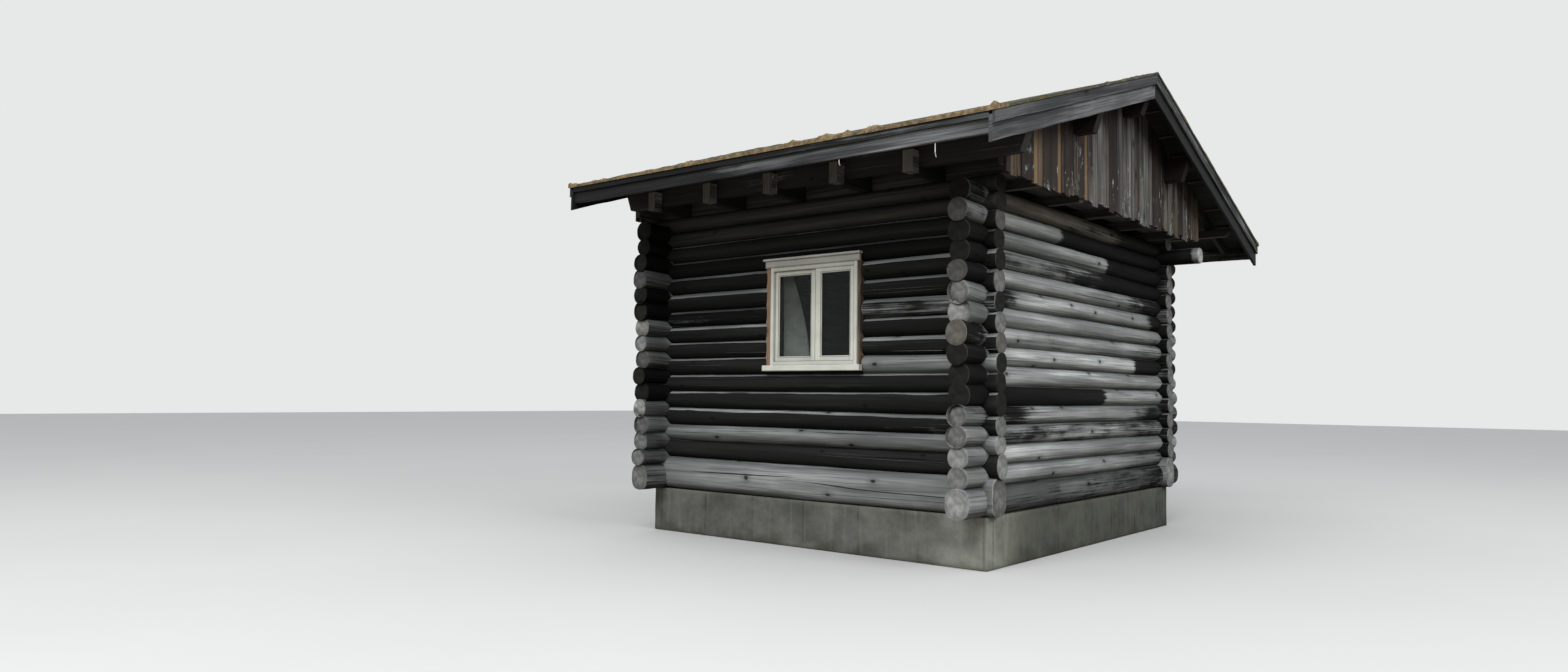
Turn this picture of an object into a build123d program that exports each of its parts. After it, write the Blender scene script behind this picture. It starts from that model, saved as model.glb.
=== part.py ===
from build123d import *
import os
from math import cos, radians, sqrt, tan

# Log cabin on a poured foundation. Millimetres, +Z up, ground at Z = 0.
# The origin lies on the ground below the middle of the roof outline, so the ridge is above Y = 0.
# The front wall, with the window, faces -Y. The near gable faces +X. The door is in the rear wall.

# Plan
wall_length = 3850
wall_depth = 4180
front_overhang = 1030
rear_overhang = 1415
near_overhang = 620
far_overhang = 210

# Foundation
foundation_height = 430
foundation_thickness = 300

# Logs
log_diameter = 172
course_height = 165
course_count = 15
front_sill_height = 325
front_sill_width = 230
gable_sill_width = 215
hewn_seat = 110
long_log_tail = 70
gable_log_tail = 330
outrigger_tail = 420
outriggers_below_top = 1
saddle_clearance = 0.5

# Floor
floor_joist_width = 60
floor_joist_height = 150
floor_joist_count = 8
floor_board_thickness = 28
floor_gap = 8

# Ceiling beams that carry the eave purlins
tie_beam_width = 98
tie_beam_height = 185
tie_beam_count = 5
tie_beam_spacing = 755
tie_beam_shift = -65
tie_beam_past_purlin = 95

# Purlins and rafters
front_roof_pitch = 18.2
rear_roof_pitch = 20.3
ridge_shift = -60
purlin_width = 100
eave_purlin_height = 252
eave_purlin_inset = 728
eave_purlin_sunk = 130
mid_purlin_height = 270
mid_purlin_from_ridge = 1140
ridge_beam_height = 240
purlin_rake = 95
rafter_width = 45
rafter_depth = 100
rafter_bays = 7

# Roof skin and its edge boards
deck_thickness = 25
roofing_thickness = 12
roofing_drip = 12
fascia_thickness = 30
fascia_drop = 170
fascia_trim_thickness = 22
fascia_trim_height = 50
barge_drop = 242
barge_trim_height = 95

# Gable cladding, which stands out from the log wall on lookouts
near_gable_stand_out = 302
far_gable_stand_out = 104
gable_board_thickness = 22
gable_board_lap = 58
gable_rear_reach = 213
gable_rail_height = 100
lookout_width = 80
lookout_inset = 165
lookout_count = 5
lookout_tail = 250
soffit_thickness = 18
eave_board_thickness = 25

# Window
window_width = 1005
window_height = 928
window_bottom = 1248
window_shift = 148
window_proud = 30
window_frame_depth = 100
window_frame_member = 36
sash_thickness = 30
sash_stile = 40
sash_meeting_stile = 64
left_sash_extra = 30
sash_setback = 24
sash_front = 8
glass_thickness = 4
glass_bite = 8
jamb_board_thickness = 62
near_jamb_board_thickness = 27
jamb_board_proud = 12
jamb_board_depth = 192
window_sill_thickness = 54
window_sill_proud = 52
window_horn = 16
head_board_height = 66
head_board_thickness = 30
drip_cap_thickness = 20
drip_cap_proud = 54

# Curtain
curtain_rod_diameter = 12
curtain_rod_from_frame = 48
curtain_rod_drop = 44
curtain_thickness = 40
curtain_header = 16
curtain_top_width = 90
curtain_middle_width = 243
curtain_bottom_width = 318
curtain_start = 44
curtain_height = 850

# Door
door_width = 820
door_height = 1880
door_thickness = 45
door_gap = 3
door_shift = 640
door_frame_thickness = 45
door_frame_proud = 10
door_frame_depth = 190
door_stop = 14
threshold_height = 30
threshold_proud = 35
hinge_count = 3
hinge_length = 420
hinge_height = 42
hinge_thickness = 5
hinge_margin = 230
hinge_reach = 36
latch_height = 1000
latch_plate_width = 46
latch_plate_height = 190
latch_plate_thickness = 4
latch_inset = 60
handle_length = 150
handle_diameter = 16
handle_stand_out = 45

# Small play between pieces that fit together
fit_gap = 0.3

# Roof outline and the faces of the walls
half_run = (wall_depth + front_overhang + rear_overhang) / 2
half_roof = (wall_length + near_overhang + far_overhang) / 2
near_face = half_roof - near_overhang
far_face = -half_roof + far_overhang
front_face = -half_run + front_overhang
rear_face = half_run - rear_overhang
log_radius = log_diameter / 2
near_middle = near_face - log_radius
far_middle = far_face + log_radius
front_middle = front_face + log_radius
rear_middle = rear_face - log_radius
wall_middle = (near_face + far_face) / 2
depth_middle = (front_face + rear_face) / 2

# Log courses: the gable walls lie half a course lower than the long walls
seat_half_width = sqrt(log_radius ** 2 - (course_height / 2) ** 2)
gable_sill_height = front_sill_height - course_height / 2
long_wall_top = foundation_height + front_sill_height + course_count * course_height
gable_wall_top = foundation_height + gable_sill_height + course_count * course_height
outside = 2 * (half_run + half_roof)

# Heights in the roof, each measured at the ridge
front_slope = tan(radians(front_roof_pitch))
rear_slope = tan(radians(rear_roof_pitch))
plumb = 1 / cos(radians(front_roof_pitch))
tie_beam_bottom = long_wall_top
tie_beam_top = tie_beam_bottom + tie_beam_height
eave_purlin_run = half_run - eave_purlin_inset
eave_purlin_bottom = tie_beam_top - eave_purlin_sunk
rafter_foot = eave_purlin_bottom + eave_purlin_height + front_slope * (eave_purlin_run + ridge_shift)
rafter_back = rafter_foot + rafter_depth * plumb
deck_back = rafter_back + deck_thickness * plumb
roof_back = deck_back + roofing_thickness * plumb

# Layers of the roof's edge, inward from its outline
trim_inner = fascia_trim_thickness
board_inner = trim_inner + fascia_thickness


def height_at(layer, place):
    """Height of a roof layer at a place between the front and the rear eave."""
    fall = front_slope if place < ridge_shift else rear_slope
    return layer - fall * abs(place - ridge_shift)


def save(piece, label):
    """Label one finished piece and write it."""
    piece.part.label = label
    export_step(piece.part, f"parts/{label}.step")


def outline_in_yz(points, low, high):
    """A prism between two X positions whose outline is given in Y and Z."""
    with BuildPart() as prism:
        with BuildSketch(Plane.YZ.offset(low)):
            with BuildLine():
                Polyline(*points, close=True)
            make_face()
        extrude(amount=high - low)
    return prism.part


def outline_in_xz(points, low, high):
    """A prism between two Y positions whose outline is given in X and Z."""
    with BuildPart() as prism:
        with BuildSketch(Plane.XZ.offset(-high)):
            with BuildLine():
                Polyline(*points, close=True)
            make_face()
        extrude(amount=high - low)
    return prism.part


def block(low, high):
    """A box between two corners."""
    size = [b - a for a, b in zip(low, high)]
    with BuildPart() as box:
        with Locations(low):
            Box(*size, align=(Align.MIN, Align.MIN, Align.MIN))
    return box.part


def course(number, sill_height, sill_width):
    """Middle height, height and width of one course of logs."""
    if number == 0:
        return foundation_height + sill_height / 2, sill_height, sill_width
    bottom = foundation_height + sill_height + (number - 1) * course_height
    return bottom + course_height / 2, course_height, log_diameter


def long_course(number):
    return course(number, front_sill_height, front_sill_width)


def gable_course(number):
    return course(number, gable_sill_height, gable_sill_width)


def log_prism(plane, middle, size, length, play):
    """A log from a plane on: round back and belly between the flat seats above and below."""
    level, height, width = size
    seat = seat_half_width if width == log_diameter else hewn_seat / 2
    reach = width / 2 + play
    low = level - height / 2
    high = level + height / 2
    with BuildPart() as log:
        with BuildSketch(plane):
            with BuildLine():
                Line((middle - seat, high), (middle + seat, high))
                ThreePointArc((middle + seat, high), (middle + reach, level), (middle + seat, low))
                Line((middle + seat, low), (middle - seat, low))
                ThreePointArc((middle - seat, low), (middle - reach, level), (middle - seat, high))
            make_face()
        extrude(amount=length)
    return log.part


def log_along_x(middle, size, low, high, play=0):
    return log_prism(Plane.YZ.offset(low), middle, size, high - low, play)


def log_along_y(middle, size, low, high, play=0):
    return log_prism(Plane.XZ.offset(-high), middle, size, high - low, play)


def long_log(number, middle, near_tail, opening):
    """A front or rear log, saddled over the gable logs of its own course and cut at an opening."""
    with BuildPart() as log:
        add(log_along_x(middle, long_course(number), far_face - long_log_tail, near_face + near_tail))
        add([*gable_saddles[number], opening], mode=Mode.SUBTRACT)
    return log.part


def gable_log(number, middle):
    """A gable log, saddled over the front and rear logs of the course below."""
    low = front_face - gable_log_tail
    high = rear_face + gable_log_tail
    with BuildPart() as log:
        add(log_along_y(middle, gable_course(number), low, high))
        if number > 0:
            add(long_saddles[number - 1], mode=Mode.SUBTRACT)
    return log.part


# What each course of logs takes out of the logs that are saddled over it
gable_saddles = []
long_saddles = []
for number in range(course_count + 1):
    low, high = front_face - gable_log_tail, rear_face + gable_log_tail
    gable_saddles.append([
        log_along_y(middle, gable_course(number), low, high, saddle_clearance)
        for middle in (near_middle, far_middle)
    ])
    low, high = far_face - long_log_tail, near_face + long_log_tail
    long_saddles.append([
        log_along_x(middle, long_course(number), low, high, saddle_clearance)
        for middle in (front_middle, rear_middle)
    ])

os.makedirs("parts", exist_ok=True)

# Foundation: one poured ring, carrying the sill logs on its outer part and the floor on its inner
with BuildPart() as foundation:
    with BuildSketch():
        with Locations((wall_middle, depth_middle)):
            Rectangle(wall_length, wall_depth)
            Rectangle(
                wall_length - 2 * foundation_thickness,
                wall_depth - 2 * foundation_thickness,
                mode=Mode.SUBTRACT,
            )
    extrude(amount=foundation_height)
save(foundation, "foundation")

# Window and door openings through the logs
window_middle = wall_middle + window_shift
jambs_low = window_middle - window_width / 2 - jamb_board_thickness
jambs_high = window_middle + window_width / 2 + near_jamb_board_thickness
window_floor = foundation_height + window_bottom
window_top = window_floor + window_height
window_cut = block(
    (jambs_low - fit_gap, front_face - outside, window_floor - window_sill_thickness),
    (jambs_high + fit_gap, depth_middle, window_top + fit_gap),
)
floor_top = foundation_height + floor_joist_height + floor_board_thickness
door_middle = wall_middle + door_shift
door_floor = floor_top + threshold_height
door_half = door_width / 2 + door_gap
door_frame_half = door_half + door_frame_thickness
door_head = door_floor + door_height + 2 * door_gap
door_cut = block(
    (door_middle - door_frame_half - fit_gap, depth_middle, floor_top),
    (door_middle + door_frame_half + fit_gap, outside, door_head + door_frame_thickness + fit_gap),
)

# Front and rear walls
outrigger_course = course_count - outriggers_below_top
for wall, middle, cut in (("front", front_middle, window_cut), ("rear", rear_middle, door_cut)):
    for group, first in (("odd", 1), ("even", 2)):
        logs = []
        for number in range(first, course_count + 1, 2):
            carries_eave = wall == "rear" and number == outrigger_course
            tail = outrigger_tail if carries_eave else long_log_tail
            logs.append(long_log(number, middle, tail, cut))
        with BuildPart() as wall_logs:
            add(logs)
        save(wall_logs, f"{wall}_wall_{group}_logs")

with BuildPart() as front_sill_log:
    add(long_log(0, front_middle, long_log_tail, window_cut))
save(front_sill_log, "front_sill_log")

with BuildPart() as rear_sill_log:
    add(long_log(0, rear_middle, long_log_tail, door_cut))
save(rear_sill_log, "rear_sill_log")

# Gable walls
for wall, middle in (("near_gable", near_middle), ("far_gable", far_middle)):
    for group, first in (("odd", 1), ("even", 2)):
        with BuildPart() as wall_logs:
            add([gable_log(number, middle) for number in range(first, course_count + 1, 2)])
        save(wall_logs, f"{wall}_{group}_logs")

with BuildPart() as gable_sill_logs:
    for middle in (near_middle, far_middle):
        add(gable_log(0, middle))
save(gable_sill_logs, "gable_sill_logs")

# Floor: joists from gable to gable on the foundation, boards across them
gable_inner = max(gable_sill_width / 2, log_radius) + floor_gap
front_inner = max(front_sill_width / 2, log_radius) + floor_gap
room_low = (far_middle + gable_inner, front_middle + front_inner)
room_high = (near_middle - gable_inner, rear_middle - front_inner)
joist_pitch = (room_high[1] - room_low[1] - floor_joist_width) / (floor_joist_count - 1)
with BuildPart() as floor_joists:
    for index in range(floor_joist_count):
        low = room_low[1] + index * joist_pitch
        add(block(
            (room_low[0], low, foundation_height),
            (room_high[0], low + floor_joist_width, foundation_height + floor_joist_height),
        ))
save(floor_joists, "floor_joists")

with BuildPart() as floor_boards:
    add(block((*room_low, floor_top - floor_board_thickness), (*room_high, floor_top)))
save(floor_boards, "floor_boards")


# Roof frame
def purlin(place, bottom_edge):
    """A purlin at a place across the building, its top cut to the rafters, its ends raked."""
    low = place - purlin_width / 2
    high = place + purlin_width / 2
    height = height_at(rafter_foot, place) - bottom_edge
    top = [(high, height_at(rafter_foot, high)), (low, height_at(rafter_foot, low))]
    if low < ridge_shift < high:
        top.insert(1, (ridge_shift, rafter_foot))
    points = [(low, bottom_edge), (high, bottom_edge), *top]
    far_end = -half_roof + board_inner
    near_end = half_roof - board_inner
    with BuildPart() as beam:
        add(outline_in_yz(points, far_end, near_end))
        for end, side in ((far_end, 1), (near_end, -1)):
            rake = [
                (end, bottom_edge + height),
                (end + side * purlin_rake, bottom_edge),
                (end, bottom_edge),
            ]
            add(outline_in_xz(rake, low, high), mode=Mode.SUBTRACT)
    return beam.part


def under_rafters(play):
    """Everything below the rafters, less a little play."""
    low = -outside
    points = [
        (-half_run, low),
        (half_run, low),
        (half_run, height_at(rafter_foot - play, half_run)),
        (ridge_shift, rafter_foot - play),
        (-half_run, height_at(rafter_foot - play, -half_run)),
    ]
    return outline_in_yz(points, -outside, outside)


tie_beam_end = eave_purlin_run + purlin_width / 2 + tie_beam_past_purlin
tie_beam_first = wall_middle + tie_beam_shift - tie_beam_spacing * (tie_beam_count - 1) / 2
tie_beam_middles = [tie_beam_first + index * tie_beam_spacing for index in range(tie_beam_count)]
roof_void = under_rafters(2 * fit_gap)
with BuildPart() as tie_beams:
    for middle in tie_beam_middles:
        add(block(
            (middle - tie_beam_width / 2, -tie_beam_end, tie_beam_bottom),
            (middle + tie_beam_width / 2, tie_beam_end, tie_beam_top),
        ))
    for side in (-1, 1):
        seat = side * eave_purlin_run
        add(block(
            (-half_roof, seat - purlin_width / 2 - fit_gap, eave_purlin_bottom),
            (half_roof, seat + purlin_width / 2 + fit_gap, tie_beam_top + purlin_width),
        ), mode=Mode.SUBTRACT)
    add(roof_void, mode=Mode.INTERSECT)
save(tie_beams, "tie_beams")

with BuildPart() as eave_purlins:
    for side in (-1, 1):
        add(purlin(side * eave_purlin_run, eave_purlin_bottom))
save(eave_purlins, "eave_purlins")

mid_purlin_places = [ridge_shift + side * mid_purlin_from_ridge for side in (-1, 1)]
mid_purlin_bottoms = [height_at(rafter_foot, place) - mid_purlin_height for place in mid_purlin_places]
with BuildPart() as mid_purlins:
    for place, bottom_edge in zip(mid_purlin_places, mid_purlin_bottoms):
        add(purlin(place, bottom_edge))
save(mid_purlins, "mid_purlins")

with BuildPart() as ridge_beam:
    add(purlin(ridge_shift, rafter_foot - ridge_beam_height))
save(ridge_beam, "ridge_beam")


def slope_layer(side, foot, back, from_ridge, run, low, high):
    """A slab of one roof slope between two layers, from near the ridge to an eave, and two X."""
    inner = ridge_shift + side * from_ridge
    outer = side * run
    points = [
        (inner, height_at(foot, inner)),
        (outer, height_at(foot, outer)),
        (outer, height_at(back, outer)),
        (inner, height_at(back, inner)),
    ]
    return outline_in_yz(points, low, high)


near_cladding = near_face + near_gable_stand_out
far_cladding = far_face - far_gable_stand_out
near_rafter = near_cladding - gable_board_thickness - rafter_width
far_rafter = far_cladding + gable_board_thickness
rafter_pitch = (near_rafter - far_rafter) / rafter_bays
for name, side in (("front", -1), ("rear", 1)):
    with BuildPart() as rafters:
        for index in range(rafter_bays + 1):
            low = far_rafter + index * rafter_pitch
            add(slope_layer(
                side, rafter_foot, rafter_back, 0, half_run - board_inner, low, low + rafter_width,
            ))
    save(rafters, f"{name}_rafters")

    with BuildPart() as deck:
        edge = half_roof - trim_inner
        add(slope_layer(side, rafter_back, deck_back, 0, half_run - trim_inner, -edge, edge))
    save(deck, f"{name}_roof_deck")

    with BuildPart() as roofing:
        edge = half_roof + roofing_drip
        add(slope_layer(side, deck_back, roof_back, 0, half_run + roofing_drip, -edge, edge))
    save(roofing, f"{name}_roofing")

# Fascia boards along the eaves, each a wide board with a narrow one over its upper part
barge_inner = half_roof - board_inner
with BuildPart() as fascia_boards:
    for side in (-1, 1):
        inner = side * (half_run - board_inner)
        outer = side * (half_run - trim_inner)
        fascia_bottom = height_at(roof_back, side * half_run) - fascia_drop
        points = [
            (inner, fascia_bottom),
            (outer, fascia_bottom),
            (outer, height_at(rafter_back, outer)),
            (inner, height_at(rafter_back, inner)),
        ]
        add(outline_in_yz(points, -barge_inner, barge_inner))
save(fascia_boards, "fascia_boards")

with BuildPart() as fascia_trims:
    for side in (-1, 1):
        inner = side * (half_run - trim_inner)
        outer = side * half_run
        low = height_at(deck_back, outer) - fascia_trim_height
        points = [
            (inner, low),
            (outer, low),
            (outer, height_at(deck_back, outer)),
            (inner, height_at(deck_back, inner)),
        ]
        add(outline_in_yz(points, -barge_inner, barge_inner))
save(fascia_trims, "fascia_trims")

# Barge boards up the gable edges, wide board and narrow board, with plumb joints at the ridge
barge_foot = roof_back - barge_drop
for name, inner, outer in (
    ("near", barge_inner, half_roof - trim_inner),
    ("far", -half_roof + trim_inner, -barge_inner),
):
    with BuildPart() as barge_boards:
        for side in (-1, 1):
            add(slope_layer(side, barge_foot, rafter_back, fit_gap, half_run, inner, outer))
    save(barge_boards, f"{name}_barge_boards")

with BuildPart() as barge_trims:
    for side in (-1, 1):
        for inner in (half_roof - trim_inner, -half_roof):
            add(slope_layer(
                side, deck_back - barge_trim_height, deck_back, fit_gap, half_run,
                inner, inner + fascia_trim_thickness,
            ))
save(barge_trims, "barge_trims")

# Gable cladding on a bottom rail and lookouts, from the eave purlin to past the rear wall
cladding_front = -eave_purlin_run + purlin_width / 2 + fit_gap
cladding_rear = rear_face + gable_rear_reach
rail_bottom = long_wall_top


def cladding(low):
    """One gable's boards as a sheet cut to the roof, with openings for the purlins."""
    with BuildPart() as sheet:
        add(block(
            (low, cladding_front, rail_bottom - gable_board_lap),
            (low + gable_board_thickness, cladding_rear, rafter_back),
        ))
        add(under_rafters(rafter_foot - rafter_back), mode=Mode.INTERSECT)
        for place, foot in (
            *zip(mid_purlin_places, mid_purlin_bottoms),
            (ridge_shift, rafter_foot - ridge_beam_height),
        ):
            half = purlin_width / 2 + fit_gap
            crown = min(max(ridge_shift, place - half), place + half)
            add(block(
                (low, place - half, foot - fit_gap),
                (low + gable_board_thickness, place + half, height_at(rafter_foot, crown)),
            ), mode=Mode.SUBTRACT)
    return sheet.part


for name, low in (("near", near_cladding - gable_board_thickness), ("far", far_cladding)):
    with BuildPart() as gable_boards:
        add(cladding(low))
    save(gable_boards, f"{name}_gable_boards")

with BuildPart() as gable_rails:
    for low in (near_rafter, far_rafter):
        add(block(
            (low, cladding_front, rail_bottom),
            (low + rafter_width, cladding_rear, rail_bottom + gable_rail_height),
        ))
save(gable_rails, "gable_rails")

lookout_first = front_face + log_diameter + lookout_inset
lookout_last = rear_face - log_diameter - lookout_inset - lookout_width
with BuildPart() as gable_lookouts:
    for index in range(lookout_count):
        low = lookout_first + index * (lookout_last - lookout_first) / (lookout_count - 1)
        add(block(
            (near_face - lookout_tail, low, gable_wall_top),
            (near_rafter + rafter_width, low + lookout_width, rail_bottom),
        ))
        add(block(
            (far_rafter, low, gable_wall_top),
            (far_face + lookout_tail, low + lookout_width, rail_bottom),
        ))
save(gable_lookouts, "gable_lookouts")

# Boards that close the eaves above the long walls, notched over the tie beams
with BuildPart() as eave_boards:
    for middle in (front_middle, rear_middle):
        add(block(
            (far_rafter + rafter_width + fit_gap, middle - eave_board_thickness / 2, long_wall_top),
            (near_rafter - fit_gap, middle + eave_board_thickness / 2, rafter_foot),
        ))
    add(roof_void, mode=Mode.INTERSECT)
    for middle in tie_beam_middles:
        half = tie_beam_width / 2 + fit_gap
        add(block(
            (middle - half, -half_run, long_wall_top),
            (middle + half, half_run, tie_beam_top + fit_gap),
        ), mode=Mode.SUBTRACT)
save(eave_boards, "eave_boards")

soffit_front = front_middle + eave_board_thickness / 2 + fit_gap
soffit_rear = rear_middle - eave_board_thickness / 2 - fit_gap
with BuildPart() as soffit_boards:
    for low, high in (
        (near_middle, near_rafter - fit_gap),
        (far_rafter + rafter_width + fit_gap, far_middle),
    ):
        add(block((low, soffit_front, rail_bottom), (high, soffit_rear, rail_bottom + soffit_thickness)))
save(soffit_boards, "soffit_boards")

# Window: frame, two sashes one behind the other, glass, jamb boards, sill, head board, drip cap
frame_front = front_face - window_proud
frame_back = frame_front + window_frame_depth
inner_low = window_middle - window_width / 2 + window_frame_member
inner_high = window_middle + window_width / 2 - window_frame_member
inner_bottom = window_floor + window_frame_member
inner_top = window_top - window_frame_member
with BuildPart() as window_frame:
    add(block(
        (window_middle - window_width / 2, frame_front, window_floor),
        (window_middle + window_width / 2, frame_back, window_top),
    ))
    add(block(
        (inner_low, frame_front, inner_bottom),
        (inner_high, frame_back, inner_top),
    ), mode=Mode.SUBTRACT)
save(window_frame, "window_frame")

# The left sash takes a little more of the width than the right one
sash_room = inner_high - inner_low - 3 * fit_gap
sash_join = inner_low + fit_gap + sash_room / 2 + left_sash_extra
sashes = (
    ("left", inner_low + fit_gap, sash_join, sash_stile, sash_meeting_stile, sash_front + sash_setback),
    ("right", sash_join + fit_gap, inner_high - fit_gap, sash_meeting_stile, sash_stile, sash_front),
)
panes = []
for name, low, high, left_stile, right_stile, set_in in sashes:
    face = frame_front + set_in
    groove = face + (sash_thickness - glass_thickness) / 2
    daylight_low = (low + left_stile, inner_bottom + sash_stile)
    daylight_high = (high - right_stile, inner_top - sash_stile)
    with BuildPart() as sash:
        add(block(
            (low, face, inner_bottom + fit_gap),
            (high, face + sash_thickness, inner_top - fit_gap),
        ))
        add(block(
            (daylight_low[0], face, daylight_low[1]),
            (daylight_high[0], face + sash_thickness, daylight_high[1]),
        ), mode=Mode.SUBTRACT)
        add(block(
            (daylight_low[0] - glass_bite, groove - fit_gap, daylight_low[1] - glass_bite),
            (
                daylight_high[0] + glass_bite,
                groove + glass_thickness + fit_gap,
                daylight_high[1] + glass_bite,
            ),
        ), mode=Mode.SUBTRACT)
    save(sash, f"{name}_sash")
    edge = glass_bite - fit_gap
    panes.append(block(
        (daylight_low[0] - edge, groove, daylight_low[1] - edge),
        (daylight_high[0] + edge, groove + glass_thickness, daylight_high[1] + edge),
    ))

with BuildPart() as window_glass:
    for pane in panes:
        add(pane)
save(window_glass, "window_glass")

jamb_board_front = front_face - jamb_board_proud
with BuildPart() as window_jamb_boards:
    for low, high in (
        (jambs_low, window_middle - window_width / 2 - fit_gap),
        (window_middle + window_width / 2 + fit_gap, jambs_high),
    ):
        add(block(
            (low, jamb_board_front, window_floor),
            (high, jamb_board_front + jamb_board_depth, window_top),
        ))
save(window_jamb_boards, "window_jamb_boards")

with BuildPart() as window_sill:
    add(block(
        (jambs_low, front_face - window_sill_proud, window_floor - window_sill_thickness),
        (jambs_high, front_face + log_diameter, window_floor),
    ))
    add(block(
        (
            jambs_low - window_horn,
            front_face - window_sill_proud,
            window_floor - window_sill_thickness,
        ),
        (jambs_high + window_horn, front_face - fit_gap, window_floor),
    ))
save(window_sill, "window_sill")

with BuildPart() as window_head_board:
    add(block(
        (jambs_low, front_face - head_board_thickness, window_top),
        (jambs_high, front_face, window_top + head_board_height),
    ))
save(window_head_board, "window_head_board")

with BuildPart() as window_drip_cap:
    low = window_top + head_board_height
    add(block(
        (jambs_low - window_horn, front_face - drip_cap_proud, low),
        (jambs_high + window_horn, front_face, low + drip_cap_thickness),
    ))
save(window_drip_cap, "window_drip_cap")

# Curtain on its rod behind the left sash
rod_depth = frame_back + curtain_rod_from_frame
rod_level = window_top - curtain_rod_drop
with BuildPart() as curtain_rod:
    with BuildSketch(Plane.YZ.offset(window_middle - window_width / 2)):
        with Locations((rod_depth, rod_level)):
            Circle(curtain_rod_diameter / 2)
    extrude(amount=window_width)
save(curtain_rod, "curtain_rod")

curtain_low = window_middle - window_width / 2 + curtain_start
curtain_top = rod_level + curtain_header
curtain_foot = curtain_top - curtain_height
with BuildPart() as curtain:
    add(outline_in_xz(
        [
            (curtain_low, curtain_foot),
            (curtain_low + curtain_bottom_width, curtain_foot),
            (curtain_low + curtain_middle_width, (curtain_foot + curtain_top) / 2),
            (curtain_low + curtain_top_width, curtain_top),
            (curtain_low, curtain_top),
        ],
        rod_depth - curtain_thickness / 2,
        rod_depth + curtain_thickness / 2,
    ))
    with BuildSketch(Plane.YZ.offset(curtain_low)):
        with Locations((rod_depth, rod_level)):
            Circle(curtain_rod_diameter / 2 + fit_gap)
    extrude(amount=curtain_bottom_width, mode=Mode.SUBTRACT)
save(curtain, "curtain")

# Plank door, closed, in a frame with a stop behind the leaf
frame_outer = rear_face + door_frame_proud
leaf_outer = rear_face
leaf_inner = leaf_outer - door_thickness
with BuildPart() as door_threshold:
    add(block(
        (door_middle - door_frame_half, frame_outer - door_frame_depth, floor_top),
        (door_middle + door_frame_half, rear_face + threshold_proud, door_floor),
    ))
save(door_threshold, "door_threshold")

with BuildPart() as door_frame:
    add(block(
        (door_middle - door_frame_half, frame_outer - door_frame_depth, door_floor),
        (door_middle + door_frame_half, frame_outer, door_head + door_frame_thickness),
    ))
    add(block(
        (door_middle - door_half, leaf_inner - fit_gap, door_floor),
        (door_middle + door_half, frame_outer, door_head),
    ), mode=Mode.SUBTRACT)
    add(block(
        (door_middle - door_half + door_stop, frame_outer - door_frame_depth, door_floor),
        (door_middle + door_half - door_stop, frame_outer, door_head - door_stop),
    ), mode=Mode.SUBTRACT)
save(door_frame, "door_frame")

with BuildPart() as door_leaf:
    add(block(
        (door_middle - door_width / 2, leaf_inner, door_floor + door_gap),
        (door_middle + door_width / 2, leaf_outer, door_floor + door_gap + door_height),
    ))
save(door_leaf, "door_leaf")

# Strap hinges lie on the leaf, with a pin plate against the edge of the frame
hinge_room = door_height - 2 * hinge_margin
with BuildPart() as door_hinges:
    for index in range(hinge_count):
        level = door_floor + hinge_margin + index * hinge_room / (hinge_count - 1)
        add(block(
            (door_middle - door_half, leaf_outer, level),
            (door_middle - door_half + hinge_length, leaf_outer + hinge_thickness, level + hinge_height),
        ))
        add(block(
            (door_middle - door_half - hinge_reach, frame_outer, level),
            (door_middle - door_half + hinge_thickness, frame_outer + hinge_thickness, level + hinge_height),
        ))
        add(block(
            (door_middle - door_half, leaf_outer, level),
            (door_middle - door_half + hinge_thickness, frame_outer + hinge_thickness, level + hinge_height),
        ))
save(door_hinges, "door_hinges")

latch_middle = door_middle + door_width / 2 - latch_inset
latch_low = door_floor + latch_height - latch_plate_height / 2
plate_face = leaf_outer + latch_plate_thickness
with BuildPart() as door_latch:
    add(block(
        (latch_middle - latch_plate_width / 2, leaf_outer, latch_low),
        (latch_middle + latch_plate_width / 2, plate_face, latch_low + latch_plate_height),
    ))
    grip_face = plate_face + handle_stand_out
    for level in (-handle_length / 2, handle_length / 2):
        with BuildSketch(Plane.XZ.offset(-grip_face)):
            with Locations((latch_middle, door_floor + latch_height + level)):
                Circle(handle_diameter / 2)
        extrude(amount=handle_stand_out)
    with BuildSketch(Plane.XY.offset(door_floor + latch_height - handle_length / 2)):
        with Locations((latch_middle, grip_face)):
            Circle(handle_diameter / 2)
    extrude(amount=handle_length)
save(door_latch, "door_latch")
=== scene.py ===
# %% [markdown]
# # Dressing a small log cabin
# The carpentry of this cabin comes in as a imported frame, in metres, with the ground at Z = 0.
# The front wall with the window faces -Y, and the gable with the deep overhang faces +X.
# The lesson keeps every piece of that frame in its place and gives each one the shape and the
# surface that years of weather left on it.

# %% Load the frame
import math
import random

import bmesh
import bpy
from mathutils import Matrix, Vector, noise


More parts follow.
